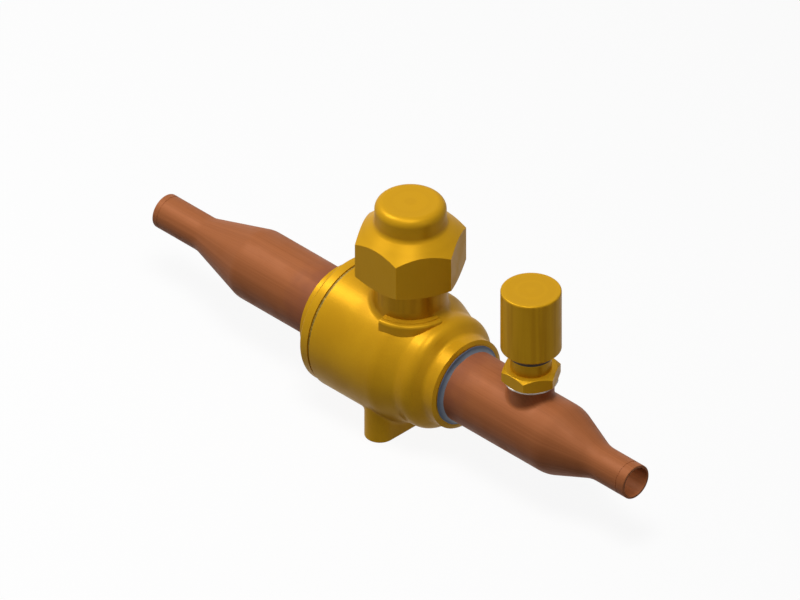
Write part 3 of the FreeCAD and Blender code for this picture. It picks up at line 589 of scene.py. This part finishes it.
@dataclass(frozen=True, kw_only=True)
class MouldedPlastic(Finish):
    """Moulded seal plastic or rubber, with a faint sheen from its lubricant.

    Attributes:
        coat: Strength of the film of lubricant.
        coat_rough: Roughness of the film.
    """

    coat: float = 0.0
    coat_rough: float = 0.25

    def adjust(self, shader: Node) -> None:
        """Give the surface its film of lubricant."""
        shader.inputs["Coat Weight"].default_value = self.coat
        shader.inputs["Coat Roughness"].default_value = self.coat_rough


BRASS_LOOK = {"colour": tone(200, 149, 24), "second": tone(186, 135, 20), "metal": 0.21,
              "sheen": (1.0, 0.84, 0.5, 1.0), "gloss": 0.06}
COPPER_LOOK = {"colour": tone(164, 98, 58), "second": tone(150, 88, 50), "tint": tone(128, 76, 58),
               "metal": 0.08, "rough": 0.5, "relief": 0.006, "sheen": (1.0, 0.88, 0.8, 1.0), "gloss": 0.12}
STEEL_LOOK = {"metal": 1.0, "relief": 0.004}


class FinishShelf:
    """The finishes of the whole valve, built once and looked up by name."""

    def __init__(self, effects: SharedEffects) -> None:
        """Build every finish."""
        finishes = (
            CastBrass("cast_brass", rough=0.34, relief=0.008, **BRASS_LOOK),
            TurnedMetal("closure_brass", rough=0.34, relief=0.004, lines=2.0, **BRASS_LOOK),
            TurnedMetal("seal_cap_brass", rough=0.38, relief=0.003, lines=2.5, flats=30.0, **BRASS_LOOK),
            TurnedMetal("port_brass", rough=0.32, relief=0.004, centre_x=PORT_X, flats=16.0, **BRASS_LOOK),
            # Its round side gets the bar's drawn lines in the bump and upright stripes of painted
            # reflection in the colour
            TurnedMetal("port_cap_brass", rough=0.34, relief=0.003, centre_x=PORT_X, drawn_and_sheen_radius=9.25,
                        **BRASS_LOOK),
            TurnedMetal("core_brass", rough=0.3, relief=0.004, centre_x=PORT_X, lines=5.0, **BRASS_LOOK),
            DrawnCopper("left_copper", joint_x=-32.0, reach=14.0, **COPPER_LOOK),
            DrawnCopper("right_copper", joint_x=24.2, reach=12.0, **COPPER_LOOK),
            # Braze colours: the paler one beside the tube is a painted highlight, the darker one at the
            # outer edge painted shade
            BrazeMetal("braze_silver", tone(108, 116, 128), tone(74, 84, 100),
                       metal=0.3, rough=0.42, relief=0.02, gloss=0.3),
            # Paler than the ring braze of the same silver: the colour is raised as a painted highlight, so
            # that the joint in the hexagon's shadow shows as a bright line
            FusedMetal("port_braze_silver", tone(208, 202, 194), tone(182, 172, 162),
                       metal=0.3, rough=0.34, relief=0.02),
            FusedMetal("weld_metal", tone(158, 132, 46), tone(124, 106, 42),
                       metal=0.15, rough=0.48, relief=0.02),
            TurnedMetal("ball_chrome", tone(198, 200, 204), tone(184, 187, 192),
                        metal=1.0, rough=0.08, relief=0.001, lines=4.0),
            TurnedMetal("stem_steel", tone(176, 178, 180), tone(160, 162, 166),
                        rough=0.26, lines=4.0, **STEEL_LOOK),
            TurnedMetal("plate_steel", tone(190, 188, 178), tone(172, 172, 166), rough=0.3, **STEEL_LOOK),
            MouldedPlastic("seat_plastic", tone(236, 234, 226), tone(226, 222, 210),
                           rough=0.42, relief=0.004, coat=0.05),
            MouldedPlastic("seal_rubber", tone(34, 34, 36), tone(48, 47, 48),
                           rough=0.5, relief=0.006, coat=0.25),
            MouldedPlastic("core_plastic", tone(196, 52, 44), tone(176, 44, 40),
                           rough=0.4, relief=0.003, coat=0.1),
            MouldedPlastic("gasket_grey", tone(84, 78, 68), tone(66, 62, 55),
                           rough=0.6, relief=0.008, gloss=0.2),
        )
        self.materials = {finish.name: finish.build(effects) for finish in finishes}

    def dress(self, piece: Piece, finish: str) -> None:
        """Put one finish on a whole piece."""
        piece.data.materials.clear()
        piece.data.materials.append(self.materials[finish])


# Surfaces

def add_object(name: str, data: bpy.types.ID) -> Piece:
    """Return a new object in the scene."""
    made = bpy.data.objects.new(name, data)
    bpy.context.scene.collection.objects.link(made)
    return made


def swept_mesh(name: str, rings: np.ndarray, closed: bool) -> Piece:
    """Make a closed skin through section rings.

    Args:
        name: The piece's name.
        rings: Points in millimetres, as section by point by coordinate; each section is a closed loop.
        closed: True where the last section meets the first; otherwise both ends get a flat cap.

    Returns:
        The piece as an object at the origin, with its faces pointing outwards.
    """
    count, size = rings.shape[:2]
    index = np.arange(count * size).reshape(count, size)
    if closed:
        index = np.vstack([index, index[:1]])
    beside = np.roll(index, -1, axis=1)
    quads = np.stack([index[:-1], beside[:-1], beside[1:], index[1:]], axis=-1).reshape(-1, 4)
    points = rings.reshape(-1, 3) * MM
    corner = points[quads]
    volume = sum(np.einsum("ij,ij->i", corner[:, 0], np.cross(corner[:, one], corner[:, one + 1])).sum()
                 for one in (1, 2))
    faces = quads.tolist()
    if not closed:
        faces += [index[0][::-1].tolist(), index[-1].tolist()]
    if volume < 0:
        faces = [face[::-1] for face in faces]
    mesh = bpy.data.meshes.new(name)
    mesh.from_pydata(points.tolist(), [], faces)
    mesh.polygons.foreach_set("use_smooth", np.ones(len(mesh.polygons), dtype=bool))
    mesh.set_sharp_from_angle(angle=math.radians(SHARP_ANGLE))
    mesh.update()
    return add_object(name, mesh)


def full_turn(steps: int) -> np.ndarray:
    """Return a column of angles evenly round one turn."""
    return np.linspace(0, 2 * math.pi, steps, endpoint=False)[:, None]


def flow_rings(along: np.ndarray, radius: np.ndarray, angle: np.ndarray) -> np.ndarray:
    """Return points round the flow axis."""
    return np.stack([along, radius * np.cos(angle), radius * np.sin(angle)], axis=-1)


def upright_rings(centre_x: float, radius: np.ndarray, angle: np.ndarray, height: np.ndarray) -> np.ndarray:
    """Return points round an upright axis."""
    return np.stack([centre_x + radius * np.cos(angle), radius * np.sin(angle), height], axis=-1)


def ramp_up(share: np.ndarray) -> np.ndarray:
    """Return the smooth rise 3s² - 2s³ of a share held between 0 and 1."""
    held = np.clip(share, 0.0, 1.0)
    return held * held * (3 - 2 * held)


def wander(angle: np.ndarray, seed: int, waves: Sequence[int]) -> np.ndarray:
    """Return a smooth closed variation of about -1 to 1 round a ring.

    It is 1.6 times the mean of sines, one for each wave count, with phases drawn from the seed.

    Args:
        angle: Angles in radians.
        seed: Seed of the phases.
        waves: How many waves each sine has in one turn.

    Returns:
        One value for each angle.
    """
    phases = np.random.default_rng(seed).uniform(0, 2 * math.pi, len(waves))
    layers = [np.sin(count * angle + phase) for count, phase in zip(waves, phases)]
    return np.mean(layers, axis=0) * 1.6


@dataclass(kw_only=True)
class NewPiece:
    """A modelled surface that joins the solids.

    Attributes:
        name: The piece's name.
        finish: The finish that it gets.
        slot: The record's material slot. Not used.
        body: The body that it rides on.
        node: The solid that it stands for, empty where it stands for none.
        steps: Its sections in one turn.
    """

    name: str
    finish: str
    slot: str
    body: Body = Body.VALVE
    node: str = ""
    steps: int

    def build(self) -> Piece:
        """Build the surface, which each kind of piece does in its own way."""
        raise NotImplementedError

    def attach(self, piece: Piece) -> Piece:
        """Let the piece ride on its body."""
        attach(piece, self.body.value)
        return piece

    def place(self, shelf: FinishShelf) -> Piece:
        """Build the piece, finish it and tie it to the frame.

        Args:
            shelf: The built finishes.

        Returns:
            The piece.
        """
        piece = self.attach(self.build())
        shelf.dress(piece, self.finish)
        if self.node:
            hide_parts(self.node)
        return piece


@dataclass(kw_only=True)
class ThreadTurns(NewPiece):
    """The turns of a screw thread as one helical ridge.

    Attributes:
        side: Whether it stands on a shank or in a bore.
        centre_x: Place of the axis along the flow.
        root: Radius at the foot of the turns.
        crest: Radius at their top.
        crest_width: Width of the flat on top.
        pitch: Rise in one turn.
        low: Height of the first section's middle.
        high: Height of the last one's.
        lead: Share of a pitch by which the ridge is set above its mate's.
        flank_slope: Spread of each flank for its depth.
        sunk: How far the foot reaches into the solid.
    """

    side: ThreadSide
    centre_x: float = 0.0
    root: float
    crest: float
    crest_width: float
    pitch: float
    low: float
    high: float
    lead: float = 0.0
    flank_slope: float = math.tan(math.radians(30))
    sunk: float = 0.04
    steps: int = 84

    def build(self) -> Piece:
        """Sweep the ridge.

        The middle of the section follows z = pitch × (angle / 2π + lead). The section is a trapezoid whose
        flanks lean 30 degrees, its foot is sunk a little into the solid, and its depth grows from next to
        nothing over the first and last half turn, so that the thread runs out.

        Returns:
            The finished piece.
        """
        turns = (self.high - self.low) / self.pitch
        share = np.linspace(0.0, 1.0, int(turns * self.steps) + 1)
        height = self.low + share * (self.high - self.low)
        angle = 2 * math.pi * (height / self.pitch - self.lead)
        grow = ramp_up(2 * turns * share) * ramp_up(2 * turns * (1 - share))
        depth = abs(self.crest - self.root) * np.maximum(grow, 0.02)
        top = self.crest_width / 2
        foot = top + depth * self.flank_slope
        ones = np.ones_like(share)
        across = np.stack([-foot, -foot, -top * ones, top * ones, foot, foot], axis=1)
        out = np.stack([-self.sunk * ones, 0 * ones, depth, depth, 0 * ones, -self.sunk * ones], axis=1)
        radius = self.root + self.side.value * out
        rings = upright_rings(self.centre_x, radius, angle[:, None], height[:, None] + across)
        return swept_mesh(self.name, rings, closed=False)


@dataclass(kw_only=True)
class BrazeFillet(NewPiece):
    """Braze metal drawn by capillarity into the corner between a tube and a collar's end face.

    Attributes:
        face: Place of the collar's face along the flow.
        side: 1 where the metal stands on the right of the face, -1 on the left.
        tube: Radius of the tube.
        width: How far the metal spreads over the face.
        climb: How far it climbs along the tube.
        sunk: How far it reaches into the tube and the face.
        seed: Seed of its irregular edge.
        curve: Points over its hollow.
    """

    finish: str = "braze_silver"
    slot: str = "braze"
    face: float
    side: int
    tube: float = TUBE_RADIUS
    width: float = 1.5
    climb: float = 1.2
    sunk: float = 0.05
    seed: int
    steps: int = 240
    curve: int = 12

    def build(self) -> Piece:
        """Sweep the fillet round the tube.

        At a share s from the outer edge to the tube the radius is tube + width × (1 - s), and the height
        over the face is climb × (0.15 r + 0.5 s + 0.35 s²), a shallow hollow between the face and the tube.
        There r rises smoothly from 0 to 1 over the first eighth. Width and climb vary smoothly round the
        ring.

        Returns:
            The finished piece.
        """
        angle = full_turn(self.steps)
        share = np.linspace(0, 1, self.curve)[None, :]
        width = self.width * (1 + 0.06 * wander(angle, self.seed, (2, 3, 5, 9, 14)))
        climb = self.climb * (1 + 0.12 * wander(angle, self.seed + 1, (1, 3, 4, 7, 11)))
        radius = self.tube + width * (1 - share)
        height = climb * (0.15 * ramp_up(share * 8) + 0.5 * share + 0.35 * share ** 2)
        under = np.full_like(angle, -self.sunk)
        radius = np.hstack([radius, np.full_like(angle, self.tube - self.sunk), radius[:, :1]])
        height = np.hstack([height, under, under])
        rings = flow_rings(self.face + self.side * height, radius, angle)
        return swept_mesh(self.name, rings, closed=True)


@dataclass(kw_only=True)
class PortBraze(NewPiece):
    """Braze metal that bulges from the joint under the access port's hexagon.

    Attributes:
        centre_x: Place of the port's axis along the flow.
        low: Height of the pulled collar's rim.
        high: Height of the hexagon's underside.
        inner: Radius of the joint inside.
        outer: Mean radius of the bulge.
        bulge: How far its middle stands out of its edges.
        curve: Points over the bulge.
    """

    name: str = "port_braze_fillet"
    finish: str = "port_braze_silver"
    slot: str = "braze"
    node: str = "port_braze_ring"
    centre_x: float = PORT_X
    low: float = 15.4
    high: float = 16.0
    inner: float = 6.2
    outer: float = 8.1
    bulge: float = 0.3
    steps: int = 180
    curve: int = 10

    def build(self) -> Piece:
        """Sweep the bulge round the collar.

        At an angle b from -90 to 90 degrees over the bulge the height is the joint's middle + half its
        height × sin b, and the radius is outer - bulge + bulge × cos b. The outer radius varies smoothly
        round the ring, and the bulge reaches 0.02 into the solids above and below.

        Returns:
            The finished piece.
        """
        angle = full_turn(self.steps)
        over = np.linspace(-math.pi / 2, math.pi / 2, self.curve)[None, :]
        outer = self.outer + 0.12 * wander(angle, 31, (2, 3, 5, 8, 13))
        radius = outer - self.bulge + self.bulge * np.cos(over)
        middle = (self.low + self.high) / 2
        half = (self.high - self.low) / 2 + 0.02
        height = middle + half * np.sin(over) + 0 * angle
        inside = np.full_like(angle, self.inner)
        radius = np.hstack([radius, inside, inside])
        height = np.hstack([height, height[:, -1:], height[:, :1]])
        rings = upright_rings(self.centre_x, radius, angle, height)
        return swept_mesh(self.name, rings, closed=True)


@dataclass(kw_only=True)
class WeldBead(NewPiece):
    """Weld run in the seam between the end closure and the body.

    Attributes:
        left: Place of the seam's left side along the flow.
        right: Place of its right side.
        inner: Radius that the bead is sunk to.
        outer: Radius at the bead's edges.
        crown: How far its middle stands higher.
        ripple: Height of the ripples.
        ripples: How many there are round the seam.
        lag: Angle in radians by which a ripple's ends trail its middle.
        curve: Points across it.
    """

    name: str = "closure_weld_bead"
    finish: str = "weld_metal"
    slot: str = "weld_metal"
    node: str = "closure_weld"
    left: float = -23.265
    right: float = -21.965
    inner: float = 18.0
    outer: float = 20.2
    crown: float = 0.14
    ripple: float = 0.06
    ripples: int = 104
    lag: float = 1.6
    steps: int = 1040
    curve: int = 9

    def build(self) -> Piece:
        """Sweep the bead round the flow axis.

        At a share s across the seam the radius is outer + crown × (1 - (2s - 1)²) + ripple × the sine of
        the ripple angle, which lags at the edges so that each ripple is a crescent. The ripples flatten
        towards the edges, and the whole radius varies smoothly round the ring.

        Returns:
            The finished piece.
        """
        angle = full_turn(self.steps)
        share = np.linspace(0, 1, self.curve)[None, :]
        bow = (2 * share - 1) ** 2
        wave = np.sin(self.ripples * angle - self.lag * bow + 0.5 * wander(angle, 7, (3, 5, 8)))
        radius = self.outer + self.crown * (1 - bow) + self.ripple * wave * (1 - 0.6 * bow)
        radius = radius + 0.05 * wander(angle, 11, (4, 9, 15, 23))
        along = self.left + (self.right - self.left) * share + 0 * angle
        inside = np.full_like(angle, self.inner)
        radius = np.hstack([radius, inside, inside])
        along = np.hstack([along, along[:, -1:], along[:, :1]])
        rings = flow_rings(along, radius, angle)
        return swept_mesh(self.name, rings, closed=True)


@dataclass(kw_only=True)
class CoreSpring(NewPiece):
    """Coil spring of the valve core, wound with closed ends. In the valve it is pressed together as its pin
    goes down; this piece keeps one length.

    Attributes:
        joint: The joint that presses it. Not used.
        centre_x: Place of the spring's axis along the flow.
        low: Height of the floor that it stands on.
        high: Height of the pin's collar over it.
        coil: Radius of the coil at the wire's middle.
        wire: Radius of the wire.
        turns: Number of turns, with the closed one at each end.
        closed: Turns at each end before the coil begins to open.
        opening: How much further apart the open turns are than the closed ones.
        travel: How far the pin goes down. Not used.
        play: Gap left under the collar.
        round_steps: Points round the wire.
    """

    name: str = "core_spring_coil"
    finish: str = "plate_steel"
    slot: str = "plate_steel"
    node: str = "core_spring"
    joint: str = "core_pin_press"
    centre_x: float = PORT_X
    low: float = 31.9
    high: float = 36.9
    coil: float = 0.95
    wire: float = 0.13
    turns: float = 7.0
    closed: float = 0.8
    opening: float = 2.4
    travel: float = 1.2
    play: float = 0.03
    steps: int = 48
    round_steps: int = 12

    def build(self) -> Piece:
        """Wind the wire.

        The wire's middle goes round at the coil's radius and rises with each step by 1 + opening × a
        smooth share that is 0 over the end turns and 1 between them, scaled to the spring's length. The
        section is a circle in the plane that holds the axis.

        Returns:
            The finished piece.
        """
        turn = np.linspace(0.0, self.turns, int(self.turns * self.steps) + 1)
        rise = 1 + self.opening * ramp_up(turn - self.closed) * ramp_up(self.turns - self.closed - turn)
        climbed = np.cumsum(rise) - rise[0]
        length = self.high - self.low - self.play - 2 * self.wire
        height = self.low + self.wire + length * climbed / climbed[-1]
        angle = 2 * math.pi * turn[:, None]
        around = full_turn(self.round_steps).T
        radius = self.coil + self.wire * np.cos(around)
        rings = upright_rings(self.centre_x, radius, angle,
                              height[:, None] + self.wire * np.sin(around) + 0 * angle)
        return swept_mesh(self.name, rings, closed=False)

    def attach(self, piece: Piece) -> Piece:
        """Let the spring ride on its body, with a mesh of its own."""
        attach(piece, self.body.value)
        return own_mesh(piece)


# Sub-assemblies

@dataclass
class SubAssembly:
    """Solids that belong together, with the new pieces that join them.

    Attributes:
        finishes: The finish of each solid, by its node's name.
    """

    finishes: ClassVar[dict[str, str]] = {}

    def new_pieces(self) -> Sequence[NewPiece]:
        """Return the pieces that join the solids, in the order in which they are built."""
        return ()

    def dress(self, shelf: FinishShelf) -> list[Piece]:
        """Finish the solids and place the new pieces.

        Args:
            shelf: The built finishes.

        Returns:
            The new pieces.
        """
        for node, finish in self.finishes.items():
            shelf.dress(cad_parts[node], finish)
        return [piece.place(shelf) for piece in self.new_pieces()]


@dataclass
class Casting(SubAssembly):
    """The brazed and welded pressure shell: body, closure, stubs, weld and braze.

    Attributes:
        closure_face: Place of the closure's outer face along the flow, where the left stub is brazed in.
        collar_face: Place of the body's right collar face, where the right stub is.
        tube: Radius of both stubs.
    """

    finishes = {"valve_body": "cast_brass", "end_closure": "closure_brass", "left_tube": "left_copper",
                "right_tube": "right_copper"}
    closure_face: float = -31.965
    collar_face: float = COLLAR_FACE
    tube: float = TUBE_RADIUS

    def new_pieces(self) -> Sequence[NewPiece]:
        """Return the braze at both stubs and the port, and the weld."""
        return (
            BrazeFillet(name="left_braze_fillet", node="left_braze_ring", face=self.closure_face, side=-1,
                        tube=self.tube, seed=3),
            BrazeFillet(name="right_braze_fillet", node="right_braze_ring", face=self.collar_face, side=1,
                        tube=self.tube, seed=5),
            PortBraze(),
            WeldBead(),
        )


@dataclass
class Spindle(SubAssembly):
    """The ball, its seats, the stem and what turns with it."""

    finishes = {"ball": "ball_chrome", "left_ball_seat": "seat_plastic", "right_ball_seat": "seat_plastic",
                "stem": "stem_steel", "stem_thrust_washer": "seat_plastic",
                "lower_stem_seal": "seal_rubber", "upper_stem_seal": "seal_rubber",
                "stop_plate": "plate_steel", "stem_retaining_ring": "plate_steel"}


@dataclass
class SealCap(SubAssembly):
    """The hexagon cap, its gasket and the mated threads of cap and neck.

    Attributes:
        pitch: Rise of both threads in one turn.
    """

    finishes = {"seal_cap": "seal_cap_brass", "seal_cap_gasket": "gasket_grey"}
    pitch: float = 1.5

    def new_pieces(self) -> Sequence[NewPiece]:
        """Return the threads of the neck and the cap."""
        return (
            ThreadTurns(name="neck_thread", finish="closure_brass", slot="body_brass",
                        side=ThreadSide.SHANK, root=10.05, crest=11.0, crest_width=0.19, pitch=self.pitch,
                        low=32.7, high=39.9),
            ThreadTurns(name="seal_cap_thread", finish="seal_cap_brass", slot="cap_brass",
                        body=Body.SEAL_CAP, side=ThreadSide.BORE, root=11.1, crest=10.15, crest_width=0.2,
                        pitch=self.pitch, low=33.2, high=40.4, lead=0.5),
        )


@dataclass
class AccessPort(SubAssembly):
    """The access port with its valve core, its cap and their mated threads.

    Attributes:
        pitch: Rise of both threads in one turn.
        centre_x: Place of the port's axis along the flow.
    """

    finishes = {"access_port": "port_brass", "port_cap": "port_cap_brass", "port_cap_seal": "gasket_grey",
                "core_body": "core_brass", "core_gasket": "core_plastic", "core_pin": "core_brass",
                "core_pin_seal": "seal_rubber"}
    pitch: float = 1.27
    centre_x: float = PORT_X

    def new_pieces(self) -> Sequence[NewPiece]:
        """Return the core's spring, and the threads of the port and its cap."""
        return (
            CoreSpring(centre_x=self.centre_x),
            ThreadTurns(name="port_thread", finish="port_cap_brass", slot="port_brass",
                        side=ThreadSide.SHANK, centre_x=self.centre_x, root=4.75, crest=5.5,
                        crest_width=0.16, pitch=self.pitch, low=25.8, high=41.2),
            ThreadTurns(name="port_cap_thread", finish="port_cap_brass", slot="cap_brass",
                        body=Body.PORT_CAP, side=ThreadSide.BORE, centre_x=self.centre_x, root=5.6,
                        crest=4.85, crest_width=0.2, pitch=self.pitch, low=28.9, high=40.8, lead=0.5),
        )


# Studio

def aim(made: Piece, place: Vector, back: Vector) -> None:
    """Put a lamp or a camera at a place, with its back to a direction."""
    made.location = place
    made.rotation_mode = "QUATERNION"
    made.rotation_quaternion = (-back).to_track_quat("-Z", "Y")


@dataclass(frozen=True)
class Softbox:
    """A soft lamp that looks at the valve.

    Attributes:
        name: The lamp's name.
        direction: Where it stands, seen from the valve.
        distance: How far away, in metres.
        size: Its width, in metres.
        power: Its power in watts.
        shadow: False for a lamp that only fills in, so that what is under the cap isn't lost in shade.
    """

    name: str
    direction: tuple[float, float, float]
    distance: float
    size: float
    power: float
    shadow: bool = True

    def build(self) -> None:
        """Hang the lamp and turn it to the valve."""
        data = bpy.data.lights.new(self.name, "AREA")
        data.shape = "SQUARE"
        data.size = self.size
        data.energy = self.power
        data.use_shadow = self.shadow
        away = Vector(self.direction).normalized()
        aim(add_object(self.name, data), away * self.distance, away)


@dataclass
class Studio:
    """Camera, floor, lamps and surroundings.

    Attributes:
        azimuth: Direction of the camera round the valve, in degrees.
        elevation: Its height over the valve, in degrees.
        camera_distance: Its distance from the picture's centre at the valve, in metres.
        frame_width: Width of the picture at the valve, in metres.
        aim_right: Picture centre to the right of the origin, in millimetres.
        aim_up: Picture centre above the origin, in millimetres.
        floor_height: Height of the valve's pad, in millimetres.
        floor_gap: How far under it the floor lies, in metres.
        floor_half: Half the floor's width, in metres.
        floor_pale: Colour of the floor as it is seen.
        floor_bounce: Its colour for the light that it throws back at the valve.
        floor_white: Share of plain white in the floor as it is seen. The rest shows the shadow.
        room_low: Light of the room at the valve's height.
        room_high: Light of the room overhead.
        lamps: The soft lamps.
    """

    azimuth: float = 45.0
    elevation: float = 35.2644
    camera_distance: float = 0.8
    frame_width: float = 0.24024
    aim_right: float = -3.153
    aim_up: float = 15.68
    floor_height: float = PAD_FACE
    floor_gap: float = 0.00005
    floor_half: float = 2.0
    floor_pale: Colour = grey(0.85)
    floor_bounce: Colour = grey(0.12)
    floor_white: float = 0.87
    room_low: Colour = grey(0.015)
    room_high: Colour = grey(0.09)
    lamps: tuple[Softbox, ...] = (
        Softbox("key_softbox", (0.15, -0.21, 0.97), 0.8, 0.30, 3.0),
        Softbox("left_softbox", (-0.47, -0.25, 0.85), 0.8, 0.26, 3.85, shadow=False),
        Softbox("right_softbox", (0.93, -0.10, 0.36), 0.9, 0.40, 0.4),
    )

    def build(self) -> None:
        """Set up the whole studio."""
        self.build_camera()
        self.build_floor()
        self.build_world()
        for lamp in self.lamps:
            lamp.build()
        bpy.context.scene.view_settings.view_transform = "Standard"

    def build_camera(self) -> None:
        """Put up the parallel-projection camera of the picture."""
        turn, tilt = math.radians(self.azimuth), math.radians(self.elevation)
        level = math.cos(tilt)
        back = Vector((math.sin(turn) * level, -math.cos(turn) * level, math.sin(tilt)))
        right = Vector((math.cos(turn), math.sin(turn), 0.0))
        up = back.cross(right)
        data = bpy.data.cameras.new("camera")
        data.type = "ORTHO"
        data.ortho_scale = self.frame_width
        data.clip_end = 10.0
        camera = add_object("camera", data)
        middle = right * self.aim_right * MM + up * self.aim_up * MM
        aim(camera, middle + back * self.camera_distance, back)
        bpy.context.scene.camera = camera

    def build_floor(self) -> None:
        """Lay the pale floor, which the camera and reflections see as near white with a soft shadow.

        From below it is clear, so that the valve's underside can be looked at.
        """
        half = self.floor_half
        height = self.floor_height * MM - self.floor_gap
        mesh = bpy.data.meshes.new("floor")
        corners = [(x, y, height) for x, y in ((-half, -half), (half, -half), (half, half), (-half, half))]
        mesh.from_pydata(corners, [], [(0, 1, 2, 3)])
        floor = add_object("floor", mesh)
        material = bpy.data.materials.new("pale_floor")
        material.use_nodes = True
        w = Wiring(material.node_tree)
        material.node_tree.nodes.remove(material.node_tree.nodes["Principled BSDF"])
        path = w.node("ShaderNodeLightPath")
        plain = w.node("ShaderNodeBsdfDiffuse")
        colour = w.blend(path.outputs["Is Diffuse Ray"], self.floor_pale, self.floor_bounce)
        w.feed(plain.inputs["Color"], colour)
        white = w.node("ShaderNodeEmission")
        white.inputs["Strength"].default_value = 1.0
        mixed = w.node("ShaderNodeMixShader")
        w.feed(mixed.inputs[0], w.times(w.seen(path), self.floor_white))
        w.feed(mixed.inputs[1], plain.outputs[0])
        w.feed(mixed.inputs[2], white.outputs[0])
        sided = w.node("ShaderNodeMixShader")
        w.feed(sided.inputs[0], w.node("ShaderNodeNewGeometry").outputs["Backfacing"])
        w.feed(sided.inputs[1], mixed.outputs[0])
        w.feed(sided.inputs[2], w.node("ShaderNodeBsdfTransparent").outputs[0])
        w.feed(material.node_tree.nodes["Material Output"].inputs["Surface"], sided.outputs[0])
        mesh.materials.append(material)

    def build_world(self) -> None:
        """Surround the valve with white as it is seen, and with a dim room that lights it from above."""
        world = bpy.data.worlds.new("room")
        world.use_nodes = True
        w = Wiring(world.node_tree)
        up = w.split(w.node("ShaderNodeTexCoord").outputs["Generated"])[2]
        colour = w.blend(w.step(up, 0.0, 0.9), self.room_low, self.room_high)
        colour = w.blend(w.seen(w.node("ShaderNodeLightPath")), colour, grey(1.0))
        w.feed(world.node_tree.nodes["Background"].inputs["Color"], colour)
        bpy.context.scene.world = world


def main() -> None:
    logging.basicConfig(level=logging.INFO, format="%(message)s")
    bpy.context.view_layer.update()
    shelf = FinishShelf(SharedEffects())
    for part in (Casting(), Spindle(), SealCap(), AccessPort()):
        names = ", ".join(piece.name for piece in part.dress(shelf))
        log.info("%s: %s", type(part).__name__, names or "finishes only")
    Studio().build()


if __name__ == "__main__":
    main()
